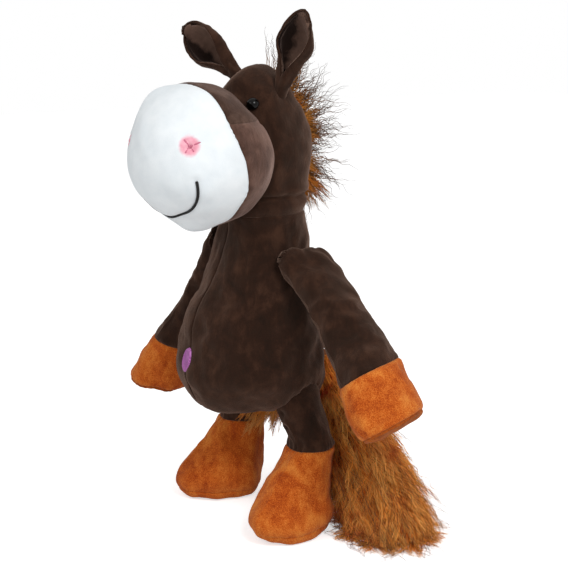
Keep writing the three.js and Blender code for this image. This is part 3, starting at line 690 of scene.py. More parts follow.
PURPLE_THREAD = thread("purple satin stitch", "#84427f", "#b56db0", 0.55, (0, 0.4, 0))
UNDERCOAT = undercoat("fur undercoat")
TUFT_FUR = fur("mane tuft fur", ((0, "#e08e2a"), (0.6, "#e4a248"), (1, "#ac8250")), ("#e4b88e", "#ffffff"))
MANE_STOPS = ((0, "#c88430"), (0.3, "#ac742e"), (0.5, "#845632"), (0.75, "#664a38"), (1, "#54443b"))
MANE_FUR = fur("mane fur", MANE_STOPS, ("#cfc0b0", "#ffffff"), spread=0.3)
SEAT_FUR = fur("seat fur", ((0, "#e0852a"), (0.6, "#f4ac50"), (1, "#e6ae68")), ("#ecc8a0", "#ffffff"))
TAIL_FUR = fur("tail fur", ((0, "#cc661e"), (0.5, "#f6a446"), (1, "#f9bd6c")), ("#bc5a40", "#fff6e8"),
               drift=2.6)
TAIL_WISP_FUR = fur("tail wisp fur", ((0, "#d8903a"), (0.5, "#b87c3c"), (1, "#5a4634")),
                    ("#d09070", "#ffffff"))


# Torso
BOWL_SHARES = ((0, 0, 0, 0), (0.087, 0.5, 0.42, 0.45), (0.291, 0.79, 0.71, 0.75), (0.641, 0.96, 0.92, 0.94),
               (1, 1, 1, 1))  # of the belly's height and of its width, front and back, up to its widest
BELLY_RISE = BELLY_HEIGHT - BELLY_BOTTOM
TORSO_ROWS = [six((BELLY_BOTTOM + h * BELLY_RISE, BELLY_WIDTH * w, BELLY_FRONT * f, BELLY_BACK * b))
              for h, w, f, b in BOWL_SHARES]
TORSO_ROWS += [six(row) for row in (
    (119.5, 39.3, 44.55, 37.8), (140, 35.5, 38.5, 35), (165, 1.07 * NECK_RADIUS, 26, 33.8),
    (180, NECK_RADIUS, 21.8, 31.4), (NECK_HEIGHT, NECK_RADIUS, 25, NECK_RADIUS),
    ring(NECK_HEIGHT + 10, NECK_RADIUS / 2), ring(NECK_HEIGHT + 20, 0))]
BELLY_BULGES = (((0.56, 0.66, -0.5), 2.6, 0.35), ((0.4, 0.06, -0.91), -5.0, 0.42),
                ((0.21, -0.855, -0.473), 3.0, 0.28), ((0.15, -0.33, -0.93), -2.6, 0.3))
# Creases of the left side, by their start, end, depth and width
SHOULDER_FOLDS = (((30, -5, 158), (23, -25, 156.5), 0.9, 1.7), ((31, -6, 153.5), (26, -23, 152), 0.8, 1.7),
                  ((29, -3, 163), (24, -18, 166), 0.5, 1.7), ((30, 24, 158), (24, 31, 161), 0.6, 1.7))


def folds(points, side, lines):
    return sum(fold(points, mirrored(start, side), mirrored(end, side), *size) for start, end, *size in lines)


def shoulder_reach(points, side):
    """How far out from the shoulder's seat, and how far from its axis, points of the horse's frame lie."""
    out = side * points[..., 0] - SHOULDER[0]
    return out, np.hypot(points[..., 1] - SHOULDER[1], points[..., 2] - SHOULDER[2])


def flank(radius):
    """The surface that keeps the torso and a swinging arm apart, as a distance out from the seat."""
    far = SHOULDER[2] - BELLY_HEIGHT
    belly = RIM_WIDTH + (far - PATCH_RADIUS) * math.tan(math.radians(FLARE))
    return np.interp(radius, [0, 8.5, PATCH_RADIUS - 0.2, far, 400], [0.05, 0.05, RIM_WIDTH, belly, belly])


def behind_flank(points, side, room):
    """Moves the torso's points in to where they leave the flank that room."""
    out, r = shoulder_reach(points, side)
    points[..., 0] -= side * np.maximum(out - (flank(r) - room), 0) * (r < 75) * (out > -10)


def out_of_ball(points, centre, radius, ways):
    """Moves the points inside a ball out of it along their ways, and says which ones lay outside."""
    q = points - centre
    along, far = (q * ways).sum(-1), (q**2).sum(-1)
    gap = np.sqrt(np.maximum(along**2 - far + radius**2, 0)) - along
    return points + ways * np.where(far < radius**2, gap, 0)[..., None], far >= radius**2


def torso_swell(form):
    p = form.points
    below = NECK_HEIGHT - p[..., 2]
    swell = lumps(p, (0.75, 46, 1), (0.3, 19, 2), (0.1, 8, 3))
    swell += 0.35 * np.exp(-below / 12) * np.sin(13 * form.angles[None, :] + 1.3 * waves(p, 22, 4))
    swell *= fade(below, 0, 7)
    swell += groove(form.to_seam(0), 0.9, 0.9) + groove(form.to_seam(1), 0.9, 0.9)
    swell -= 1.1 * np.exp(-below / 1.2) + 0.9 * bell(below - 5, 3.5)
    swell += bulges(unit(p - np.array([0, 0, BELLY_HEIGHT])), BELLY_BULGES)
    for _, side in SIDES:
        out, r = shoulder_reach(p, side)
        bearing = np.arctan2(p[..., 2] - SHOULDER[2], p[..., 1] - SHOULDER[1])
        swell += (out > -14) * (0.35 * np.sin(9 * bearing + side) * bell(r - 15, 6) - 1.5 * bell(r, 15))
        swell += folds(p, side, SHOULDER_FOLDS)
        to_hip = distance(p, mirrored(HIP, side)) - HIP_OPENING
        pleat = np.arctan2(p[..., 1] - HIP[1], side * p[..., 0] - HIP[0])
        swell += groove(to_hip, 1.3, 1.5) + 0.3 * np.sin(11 * pleat) * bell(to_hip, 6)
    return swell


def make_torso():
    form = Form(TORSO_ROWS, ORIGIN, high=NECK_HEIGHT, coarse=1.6)
    form.push(torso_swell(form))
    held = fade(form.points[..., 2], 140, 150)
    for _, side in SIDES:
        for place, reach in ((HIP, 28), (SHOULDER, 40)):
            held = np.maximum(held, fade(distance(form.points, mirrored(place, side)), reach, reach - 8))
    swollen(form, held)
    form.inner[..., 2] = np.minimum(form.inner[..., 2], NECK_HEIGHT - 6)
    keep = np.ones(form.points.shape[:2], bool)
    for _, side in SIDES:
        hip = mirrored(HIP, side)
        behind_flank(form.inner, side, FABRIC)
        inwards = unit(np.array([-side * HIP[0], -HIP[1], 30]))
        form.inner = out_of_ball(form.inner, hip, HIP_BALL + FABRIC, inwards)[0]
        behind_flank(form.points, side, 0.25)
        q = form.points - hip
        sideways = unit(q - (q * form.normals).sum(-1, keepdims=True) * form.normals)
        form.points, outside = out_of_ball(form.points, hip, HIP_OPENING, sideways)
        keep &= outside
    two_halves(form, "torso", keep)
    core("torso_fibre", form, "torso", "torso_filling")


def make_navel(rings=26, around=96):
    """A stitched oval with a raised satin rim."""
    rho = np.linspace(0, 1, rings)[:, None]
    a = np.linspace(0, TAU, around, endpoint=False)[None, :]
    x, z = NAVEL_HALF_WIDTH * rho * np.cos(a), NAVEL_HEIGHT + NAVEL_HALF_HEIGHT * rho * np.sin(a)
    rim = bell(rho - 0.86, 0.1)
    stitches = 0.07 * np.sin(TAU * z / 0.7) * (1 - rim) + 0.07 * np.sin(46 * a) * rim
    rise = np.where(rho > 0.985, -0.4, 0.55 + 0.4 * rim + stitches - 0.15 * (1 - rho))
    half_width, front = sizes_at(TORSO_ROWS, z, 1, 2)
    y = -front * np.sqrt(np.clip(1 - (x / half_width) ** 2, 0, 1)) - rise
    points = placed(np.stack([x, y, z], -1).reshape(-1, 3), ORIGIN)
    obj = new_object("navel_stitching", points, [face[::-1] for face in grid_faces(rings, around)])
    dress(obj, "torso", PURPLE_THREAD, ["navel_embroidery"])


# Head
SKULL_ROWS = [six(row) for row in (
    ring(170, 0), ring(180, 0.8 * NECK_RADIUS), ring(NECK_HEIGHT, NECK_RADIUS), (207, 29.25, 29.25, 30.25),
    (TEMPLE_HEIGHT, TEMPLE_WIDTH, TEMPLE_WIDTH, TEMPLE_BACK),
    (238, 0.92 * TEMPLE_WIDTH, 0.92 * TEMPLE_WIDTH, 0.92 * TEMPLE_BACK), ring(BROW_HEIGHT, BROW_RADIUS),
    ring(CROWN_HEIGHT - 7.56, 0.72 * BROW_RADIUS), ring(CROWN_HEIGHT - 1.512, 0.35 * BROW_RADIUS),
    ring(CROWN_HEIGHT, 0))]
BALL_SHARES = ((-1, 0, 0, 0), (-0.93, 0.37, 0.37, 0.37), (-0.7, 0.72, 0.72, 0.72), (-0.36, 0.94, 0.94, 0.94),
               (0, 1, 1, 1), (0.34, 0.96, 0.96, 0.94), (0.64, 0.8, 0.8, 0.76), (0.86, 0.54, 0.54, 0.5),
               (0.97, 0.25, 0.25, 0.23), (1, 0, 0, 0))
MUZZLE_ROWS = [six([MUZZLE_RADIUS * share for share in row]) for row in BALL_SHARES]
# Where the stuffed muzzle bulges or lies flatter than a ball, as ways in the head's frame
MUZZLE_BULGES = (
    ((0.3, 0.0, 0.95), -1.6, 0.26), ((0.54, -0.33, 0.78), 2.2, 0.3), ((0.47, 0.5, 0.72), -4.8, 0.42),
    ((0.7, -0.7, 0.0), -1.4, 0.45), ((0.39, -0.6, -0.68), -2.6, 0.3), ((0.0, -0.29, -0.96), 2.4, 0.24),
    ((0.34, 0.1, -0.93), -1.6, 0.2), ((0.17, -0.44, -0.88), -3.2, 0.2), ((0.75, 0.25, -0.62), -1.5, 0.3))
# The stitched creases of a nostril, by their ends across and up from its middle
NOSTRIL_STAR = (((0, 0), (-4.0, 4.4)), ((0, 0), (6.8, 2.2)), ((-0.2, 0), (-3.4, -4.2)),
                ((0.4, -0.4), (2.4, -3.6)))


def eye_frame(side):
    """The eye's place on the skull, with +Y pointing outwards."""
    a = math.radians(EYE_BEARING)
    radius = sizes_at(SKULL_ROWS, EYE_HEIGHT, 1, samples=1500)[0] + 0.3
    level = Vector((side * math.sin(a), -math.cos(a), 0))
    way = (level + Vector((0, 0, math.tan(math.radians(EYE_TILT))))).normalized()
    turned = Vector((0, 1, 0)).rotation_difference(way).to_matrix().to_4x4()
    return HEAD @ shift(*(level * radius + Vector((0, 0, EYE_HEIGHT)))) @ turned


def make_head():
    form = Form(SKULL_ROWS, HEAD, low=NECK_HEIGHT - 1.6, coarse=1.4)
    p = form.points
    over = p[..., 2] - NECK_HEIGHT
    swell = lumps(p, (0.5, 36, 11), (0.22, 14, 12))
    ripples = np.sin(TAU * (p[..., 2] + 1.6 * waves(p, 26, 13)) / 6.5)
    swell += 0.45 * ripples * bell(over - 7, 6) * (0.6 + 0.4 * np.tanh(waves(p, 20, 14)))
    swell *= fade(over, 0, 6)
    crease = over - 10 - 0.8 * waves(p, 30, 15)
    swell += 0.7 * bell(crease - 3.6, 2.2) - 2.2 * bell(crease, 1.5)
    swell += 0.9 * bell(over - 4, 2.6) - 0.5 * np.exp(-(over + 1.6) / 0.8)
    crown = bell(p[..., 0], 7) * fade(p[..., 2], 256, 264)
    swell += 2.2 * crown + groove(form.to_seam(1), 0.9, 0.9) * fade(over, 0, 4) * (1 - crown)
    swell += groove(reach_of(MUZZLE_ROWS, between(p, HEAD, MUZZLE)), 1.2, 1.7)
    for _, side in SIDES:
        eye = local(np.array(eye_frame(side))[:3, 3], HEAD)
        swell -= 1.6 * bell(distance(p, ear_root(side)), 6.5) + 0.9 * bell(distance(p, eye), 4.4)
    form.push(swell)
    form.inner[..., 2] = np.maximum(form.inner[..., 2], NECK_HEIGHT + 6)
    two_halves(form, "head")
    core("head_fibre", form, "head", "head_filling")


def muzzle_point(x, y):
    """The front of the muzzle's form at a place across its axis, in its own frame."""
    x, y = np.asarray(x, float), np.asarray(y, float)
    z = edge_of(MUZZLE_ROWS, lambda z: np.stack([x, y, z], -1), 0 * x, 0 * x + MUZZLE_RADIUS, 30)
    return np.stack([x, y, z], -1)


def nostril_centre(side):
    a, e = math.radians(NOSTRIL_BEARING), math.radians(NOSTRIL_RISE)
    radius = 0.98 * MUZZLE_RADIUS
    return muzzle_point(side * math.sin(a) * math.cos(e) * radius, math.sin(e) * radius)


def nostril_lines(side):
    centre = nostril_centre(side)
    out = unit(centre)
    across = unit(np.cross([0, 1, 0], out)) * side
    up = np.cross(out, across) * side
    ends = [[centre + across * u + up * v for u, v in line] for line in NOSTRIL_STAR]
    return [[muzzle_point(x, y) for x, y, _ in line] for line in ends]


def smile_path(steps=900):
    a = np.linspace(0, np.pi, steps)
    return muzzle_point(SMILE_HALF_WIDTH * np.cos(a), -SMILE_CORNER_DROP - SMILE_DEPTH * np.sin(a))


def muzzle_swell(p):
    """The muzzle's lumps at points of its own frame."""
    ways = unit(between(p, MUZZLE, HEAD) - between([0, 0, 0], MUZZLE, HEAD))
    return lumps(p, (0.3, 48, 21), (0.15, 17, 22)) - 0.6 + bulges(ways, MUZZLE_BULGES)


def from_line(points, line):
    """Distance from points to a polyline of close points."""
    tree = KDTree(len(line))
    for i, v in enumerate(line):
        tree.insert(v, i)
    tree.balance()
    return np.array([tree.find(v)[2] for v in points.reshape(-1, 3)]).reshape(points.shape[:-1])


def make_muzzle():
    form = Form(MUZZLE_ROWS, MUZZLE, ring_seams=[MUZZLE_SEAM], coarse=1.35)
    x, y, z = np.moveaxis(form.points, -1, 0)
    lean = 8 * bell(z - MUZZLE_SEAM, 16)
    upper = np.clip(y / MUZZLE_RADIUS, -1, 1)
    z += lean * np.clip(upper, 0, 1) * (0.4 + (x / MUZZLE_RADIUS) ** 2)
    z -= 0.5 * lean * bell(upper + 0.5, 0.33)
    p = form.points
    head_points = between(p, MUZZLE, HEAD)
    seam = form.to_ring(MUZZLE_SEAM)
    swell = muzzle_swell(p) + groove(seam, 1.2, 1.0)
    pucker = np.sin(58 * form.angles[None, :] + 2 * waves(p, 18, 23)) * np.clip(waves(p, 22, 24), 0, 2)
    swell += 0.16 * pucker * np.exp(-seam / 3.5)
    cheek_seam = groove(head_points[..., 2] - CHEEK_SEAM_HEIGHT, 1.0, 1.0)
    swell += (z <= MUZZLE_SEAM) * (cheek_seam + groove(form.to_seam(0), 0.8, 0.9))
    swell += groove(reach_of(SKULL_ROWS, head_points), 1.5, 1.8)
    smile = from_line(p, smile_path(240))
    swell += 0.25 * bell(smile - 4.5, 2.2) - 0.55 * bell(smile, 1.9)
    for _, side in SIDES:
        swell -= 1.3 * bell(distance(p, nostril_centre(side)), 4.2)
        for a, b in nostril_lines(side):
            swell += fold(p, a + 0.15 * (a - b), b, 0.9, 0.8)
    form.push(swell)
    keep = reach_of(SKULL_ROWS, between(form.points, MUZZLE, HEAD)) > -3.5
    ring_at = form.seam_rings[0]
    white = panel("muzzle_white_front", form, (ring_at, None), keep=keep)
    dress(white, "head", white_front(), ["muzzle_front"])
    level = tuple(placed([0, 0, CHEEK_SEAM_HEIGHT], HEAD))
    for name, node, material, slot, above in (
            ("muzzle_bridge_panel", "muzzle_bridge", BRIDGE, "brown_plush", True),
            ("muzzle_cheek_panel", "muzzle_cheeks", LINING, "brown_lining", False)):
        obj = panel(name, form, (0, ring_at), thick=0, keep=keep)
        with edited(obj) as bm:
            bmesh.ops.bisect_plane(bm, geom=[*bm.verts, *bm.edges, *bm.faces], plane_co=level,
                                   plane_no=(0, 0, 1), clear_inner=above, clear_outer=not above)
        dress(thickened(obj, PANEL), "head", material, [node])
    core("muzzle_fibre", form, "head", "muzzle_filling")


def cord_grid(path, normal, half_width, height, pitch, sides, taper):
    """A low half-round cord along a path on a surface with those normals, ridged by its stitches."""
    t = unit(np.gradient(path, axis=0))
    b = unit(np.cross(t, normal))
    n = np.cross(b, t)
    s = np.concatenate([[0], np.cumsum(np.linalg.norm(np.diff(path, axis=0), axis=1))])
    end = np.sqrt(1 - (1 - fade(np.minimum(s, s[-1] - s), 0, taper)) ** 2)[:, None]
    a = np.linspace(0, TAU, sides, endpoint=False)[None, :]
    slant = s[:, None] + 0.45 * np.cos(a) * half_width
    u = half_width * np.cos(a) * end
    v = height * np.sin(a) * end * (1 + 0.1 * np.sin(TAU * slant / pitch))
    return path[:, None] + b[:, None] * u[..., None] + n[:, None] * np.where(v < 0, 0.5 * v, v)[..., None]


def stitching(name, grids):
    """Cords of thread on the muzzle, as one piece."""
    faces, count = [], 0
    for grid in grids:
        faces += [tuple(v + count for v in face) for face in grid_faces(*grid.shape[:2], capped=True)]
        count += grid.shape[0] * grid.shape[1]
    points = np.concatenate([grid.reshape(-1, 3) for grid in grids])
    return recalculated(new_object(name, placed(points, MUZZLE), faces))


def make_face_stitches():
    path = smile_path()
    way = unit(path)
    path = path + way * (muzzle_swell(path) - 0.28)[:, None]
    smile = stitching("smile_stitching", [cord_grid(path, way, 0.82, 0.7, 0.55, 12, 0.5)])
    dress(smile, "head", SMILE_THREAD, ["smile_embroidery"])
    for label, side in SIDES:
        grids = []
        for a, b in nostril_lines(side):
            line = a + (b - a) * np.linspace(0.0, 0.9, 40)[:, None]
            line = muzzle_point(line[:, 0], line[:, 1])
            way = unit(line)
            dimple = 1.3 * bell(distance(line, nostril_centre(side)), 4.2)
            line = line + way * (muzzle_swell(line) - dimple - 0.3)[:, None]
            grids.append(cord_grid(line, way, 0.5, 0.4, 0.6, 8, 0.4))
        stitches = stitching(f"{label}_nostril_stitches", grids)
        dress(stitches, "head", PINK_THREAD, [f"{label}_nostril"])


def make_eyes(around=48):
    """Domes with a flat back and a stem, turned from one profile of radii and heights."""
    bow = [(EYE_RADIUS * math.sin(a), 0.3 + EYE_DOME * math.cos(a))
           for a in np.linspace(0.08, math.pi / 2, 16)]
    profile = [(0, EYE_DOME + 0.3), *bow, (EYE_RADIUS - 0.1, 0), (EYE_RADIUS - 0.6, -0.5), (1.4, -0.6),
               (1.3, -6.5), (0, -6.5)]
    radius, height = np.array(profile).T[:, :, None]
    a = np.linspace(0, TAU, around, endpoint=False)
    grid = np.stack([radius * np.cos(a), height + 0 * a, radius * np.sin(a)], -1).reshape(-1, 3)
    for label, side in SIDES:
        points = placed(grid, eye_frame(side))
        dome = recalculated(merged(new_object(f"{label}_eye_dome", points, grid_faces(len(profile), around))))
        dress(dome, "head", EYE, [f"{label}_eye"])


# Arms and legs
ARM_FULLNESS = {"left": 0, "right": 4}  # how much fuller its top is
ARM_STRETCH_SHARES = {"left": 0, "right": 0.06}
ARM_FOLDS = (((0, -19, -30), (12, -8, -37), 0.9, 1.8), ((14, 4, -52), (10, -16, -47), 0.8, 2.0))
ARM_PIECES = (("hand_sole", RUST, "orange_plush"), ("hand_hoof", ORANGE, "orange_plush"),
              ("arm_sleeve", BROWN, "brown_plush"))
LEG_CUFF_DIPS = {"left": 0, "right": 2.4}
LEG_FOLDS = (((1, -14, -5), (14, -2, -10), 2.0, 1.9), ((2, -14, -14), (13, -4, -18), 1.7, 1.9),
             ((-13, 4, -8), (-6, 13, -13), 1.4, 1.9))
LEG_PIECES = (("foot_sole", ORANGE, "orange_plush"), ("foot_hoof", ORANGE, "orange_plush"),
              ("leg_sleeve", BROWN, "brown_plush"))


def gathers(form, gap, height, count, wander, seed, reach):
    """Small pleats round a form, that fade out away from a seam."""
    phase = count * form.angles[None, :] + wander * waves(form.points, 16, seed)
    return height * np.sin(phase) * np.exp(-gap / reach)


def seated(points, label, side, room):
    """Moves an arm's points out to where they leave the torso's flank that room."""
    q = between(points, ARMS[label], ORIGIN)
    out, r = shoulder_reach(q, side)
    q[..., 0] += side * np.maximum(flank(r) + room - out, 0)
    return between(q, ORIGIN, ARMS[label])


def make_arm(label, side):
    full = ARM_FULLNESS[label]
    sole, cuff = ARM_SOLE - ARM_LENGTH, -ARM_CUFF
    rows = [(-ARM_LENGTH, 0, 0, 0, 0, 2), (-112.29, 10.85, 13.95, 13.95, 0, 2),
            (-108.3, 15.75, 20.25, 20.25, 0, 2), (-96.9, 17.5, 22.5, 22.5, 0, 2.4),
            (cuff, 16, 20.5, 20.5, side, 3.2),
            (-38, 13, 17.5 + 0.3 * full, 17.5, 2 * side, 4.4 - 0.6 * full),
            (-11.4, 10.9 + 0.2 * full, 17 + 0.9 * full, 17, side, 2.4 - 1.1 * full),
            (0, 10.1 + 0.2 * full, 16.6 + 0.9 * full, 17.2, 0, 0.8 - full),
            (7.98, 7.2, 13.6 + full, 14.6, 0, 0.6 - 0.7 * full), (10.8 + 0.4 * full, 0, 0, 0)]
    form = Form(rows, ARMS[label], ring_seams=(sole, cuff), coarse=1.3)
    x, y, z = np.moveaxis(form.points, -1, 0)
    bearing = math.radians(-90 + side * 50)
    facing = (x * math.cos(bearing) + (y - 2) * math.sin(bearing)) / 20
    z -= ARM_STRETCH_SHARES[label] * np.maximum(-20 - z, 0)
    share = fade(z, -44, -82)
    z -= 7 * facing * share**2 * (3 - 2 * share)
    z += 3.2 * fade(-y, 0, 15) * fade(z, -14, 0)
    p, seed = form.points, 40 + side
    to_cuff, to_sole = form.to_ring(cuff), form.to_ring(sole)
    swell = lumps(p, (0.55, 34, seed), (0.25, 14, seed + 2)) + groove(form.to_seam(1), 0.7, 0.9)
    swell += groove(to_cuff, 1.3, 1.1) + groove(to_sole, 1.0, 0.9)
    swell += gathers(form, to_sole, 0.22, 30, 2, seed + 4, 4)
    swell += gathers(form, to_cuff, 0.16, 22, 2, seed + 5, 5)
    swell += 0.45 * fade(z, -16, 4) * np.sin(7 * form.angles[None, :] + 1.5 * waves(p, 14, seed + 6))
    form.push(swell + folds(p, side, ARM_FOLDS))
    swollen(form, fade(form.points[..., 2], -30, -16))
    form.inner[..., 2] = np.minimum(form.inner[..., 2], 4)
    form.points = seated(form.points, label, side, 0.35)
    form.inner = seated(form.inner, label, side, 0.35 + FABRIC)
    limb(form, label, "arm", ARM_PIECES)


def make_leg(label, side):
    floor = -HIP[2]

    def foot(height, width_share, toe_share, heel_share, forward=10):
        return [floor + height, width_share * 21.5, toe_share * 34, heel_share * 22, side * 9, -forward]

    rows = [foot(-0.5, 0, 0, 0), foot(-0.25, 0.55, 0.6, 0.6), foot(2.38, 0.87, 0.9, 0.88), foot(14, 1, 1, 1),
            foot(28, 0.87, 0.78, 0.95, 7), ring(-26, 14.5, side * 11.5), ring(-13.5, 13.485, side * 8.05),
            ring(0, 14.1), ring(7.5, 12), ring(12.9, 6.3), ring(14.1, 0)]
    sole, cuff = floor + LEG_SOLE, floor + LEG_CUFF
    form = Form(rows, LEGS[label], ring_seams=(sole, cuff), coarse=1.3)
    form.points[..., 2] -= LEG_CUFF_DIPS[label] * bell(form.points[..., 2] - cuff, 9)
    p, seed = form.points, 60 + side
    to_cuff, to_sole = form.to_ring(cuff), form.to_ring(sole)
    swell = lumps(p, (0.6, 32, seed), (0.25, 13, seed + 2)) + groove(form.to_seam(1), 0.9, 0.9)
    swell += groove(to_cuff, 1.4, 1.1) + groove(to_sole, 0.9, 0.9)
    swell += gathers(form, to_cuff, 0.3, 17, 2.5, seed + 4, 7)
    swell += gathers(form, to_sole, 0.28, 40, 2, seed + 5, 3.5)
    form.push(swell + folds(p, side, LEG_FOLDS))
    z = form.points[..., 2]
    swollen(form, np.maximum(fade(z, -10, -2), fade(z, -72, -76)))
    form.inner[..., 2] = np.maximum(form.inner[..., 2], floor + FABRIC)
    form.points[..., 2] = np.maximum(form.points[..., 2], floor)
    limb(form, label, "leg", LEG_PIECES)


# Ears: a leaf of two fabrics, rolled up towards its foot. Rows of height, half width and depth.
EAR_ROWS = [(EAR_FOOT, 0, 0), (-7, 3.4, 3.4), (-2.7, 4.1, 4.1), (1.35, 4.5, 4.5), (13.44, 7.9, 5.6),
            (23.04, 11.3, 7.5), (32.64, 11.0, 6.2), (41.28, 7.9, 3.7), (46.08, 4.0, 1.5), (EAR_LENGTH, 0, 0)]
# Heights up the ear, and the angle to each side that the leaf is rolled round there
EAR_ROLL = ((EAR_FOOT, 6, 14, 22, 34, EAR_LENGTH), (180, 180, 152, 134, 120, 92))


def ear_sheet(name, label, seed, start, thick, inset=0, narrower=0):
    """A fabric of the ear from a height up to the tip, inset and rolled less far where it is the lining."""
    h = np.unique(np.concatenate([np.linspace(start, 46, 64), np.linspace(46, EAR_LENGTH, 9)]))
    w, d = sizes_at(EAR_ROWS, h, 1, 2)
    share = np.linspace(-1, 1, 73)[None, :]
    phi = np.radians(np.interp(h, *EAR_ROLL) - narrower)[:, None] * share
    wide, deep = np.maximum(w - inset, 0.05)[:, None], np.maximum(d - inset, 0.04)[:, None]
    flare = 1 + 0.1 * np.abs(share) ** 6 * fade(np.minimum(h - 14, 46 - h), 0, 10)[:, None]
    high = h + (EAR_LENGTH_SHARES[label] - 1) * np.maximum(h - 8, 0) - 1.7 * inset * fade(h, 24, 48)
    grid = np.stack([wide * np.sin(phi) * flare, deep * np.cos(phi) * flare, high[:, None] + 0 * phi], -1)
    out = unit(np.stack([np.sin(phi) / wide, np.cos(phi) / deep, 0 * phi], -1))
    lump = lumps(grid, (0.3, 16, seed), (0.12, 6, seed + 1))
    lump += 0.5 * np.sin(5 * phi + 0.6) * bell(h[:, None] - 6, 6)
    grid = grid + out * (lump * fade(w, 0, 5)[:, None])[..., None]
    faces = [face[::-1] for face in grid_faces(*grid.shape[:2], closed=False)]
    return thickened(merged(new_object(name, placed(grid.reshape(-1, 3), EARS[label]), faces), 2e-6), thick)


def make_ear(label, side):
    seed = 80 + side
    back = ear_sheet(f"{label}_ear_leaf", label, seed, EAR_FOOT, 1.3)
    dress(back, f"{label}_ear", BROWN, [f"{label}_ear_back"])
    inner = ear_sheet(f"{label}_ear_cup", label, seed, 8, 1.2, 1.45, 5)
    dress(inner, f"{label}_ear", ear_lining_painted_shade(label), [f"{label}_ear_lining"])


# Fur: strands as thin three-sided tubes that run together in locks. of is the lock of each strand.
def strand_piece(name, rng, paths, of, thick, taper_share, material, matrix, body, node):
    """Tubes along paths, an array of strands x steps x 3 in millimetres, that grow thinner to their tips."""
    n, steps = paths.shape[:2]
    along = np.linspace(0, 1, steps)
    widths = rng.uniform(*thick, (n, 1)) * (1 - taper_share * along**2)
    lock = rng.uniform(0, 1, of[-1] + 1)[of]
    tangent = unit(np.gradient(paths, axis=1))
    b = unit(np.cross(tangent, unit(rng.normal(size=(n, 1, 3)))))
    c = np.cross(tangent, b)
    a = np.radians([0, 120, 240])[:, None]
    corners = b[:, :, None] * np.cos(a) + c[:, :, None] * np.sin(a)
    points = placed((paths[:, :, None] + widths[:, :, None, None] * corners).reshape(-1, 3), matrix)
    tube = np.array(grid_faces(steps, 3))
    faces = (tube[None] + (np.arange(n) * steps * 3)[:, None, None]).reshape(-1, 4)
    obj = new_object(name, points, faces.tolist())
    tone = np.ones((n, steps, 3, 4), np.float32)
    tone[..., 0] = along[:, None]
    tone[..., 1] = lock[:, None, None]
    tone[..., 2] = rng.uniform(0, 1, n)[:, None, None]
    layer = obj.data.color_attributes.new("strand", "FLOAT_COLOR", "POINT")
    layer.data.foreach_set("color", tone.reshape(-1))
    dress(obj, body, material, [node] if node else [])


def crinkle(paths, amount, waviness, rng, of):
    """Adds the crimp of the strands, in step within a lock."""
    n, steps = paths.shape[:2]
    locks = of[-1] + 1
    tangent = unit(np.gradient(paths, axis=1))
    b = unit(np.cross(tangent, unit(rng.normal(size=(locks, 1, 3)))[of]))
    c = np.cross(tangent, b)
    s = np.linspace(0, 1, steps)[None, :]
    phase = rng.uniform(0, TAU, locks)[of][:, None] + rng.normal(0, 0.5, (n, 1))
    rate = (waviness * rng.uniform(0.7, 1.3, locks))[of][:, None]
    size = amount * np.sqrt(s) * rng.uniform(0.5, 1.3, (n, 1))
    turns = TAU * rate * s + phase
    return paths + b * (size * np.sin(turns))[..., None] + c * (0.6 * size * np.cos(1.3 * turns))[..., None]


MANE_PIVOT = 224
# Bearings of the mane's thick tufts, in degrees back from straight up, with how long and how wide they are
TUFTS = ((46, 8, 5), (61, 11, 5), (75, 12, 5), (103, 8, 4), (115, 19, 7))


def behind_skull(x, reach, bearing):
    return np.stack([x, reach * np.sin(bearing), MANE_PIVOT + reach * np.cos(bearing)], -1)


def skull_edge(bearing, x):
    """How far the skull reaches from the mane's pivot at a bearing, x to the side of its middle."""
    low, high = 0 * bearing + 10, 0 * bearing + 60
    return edge_of(SKULL_ROWS, lambda reach: behind_skull(x, reach, bearing), low, high, 26)


def tuft_length(degrees):
    return 3 + sum(size * bell(degrees - at, wide) for at, size, wide in TUFTS)


def mane_undercoat():
    """A lumpy pad of short pile under the tufts."""
    degrees = np.linspace(38, 123, 150)[:, None]
    around = np.linspace(0, TAU, 24, endpoint=False)[None, :]
    bearing = np.radians(degrees) + 0 * around
    taper = np.sqrt(np.clip(1 - np.abs(np.linspace(-1, 1, 150)[:, None]) ** 6, 0.01, 1))
    reach = skull_edge(bearing, 0 * bearing) + 1.5
    reach += (2 + 0.22 * tuft_length(degrees)) * taper * np.cos(around)
    grid = behind_skull(4.4 * taper * np.sin(around), reach, bearing)
    grid += unit(grid - [0, 0, MANE_PIVOT]) * lumps(grid, (0.6, 9, 90), (0.4, 4, 91))[..., None]
    faces = grid_faces(*grid.shape[:2], capped=True)
    under = recalculated(new_object("mane_undercoat", placed(grid.reshape(-1, 3), HEAD), faces))
    dress(under, "head", UNDERCOAT, ["mane_fur"])


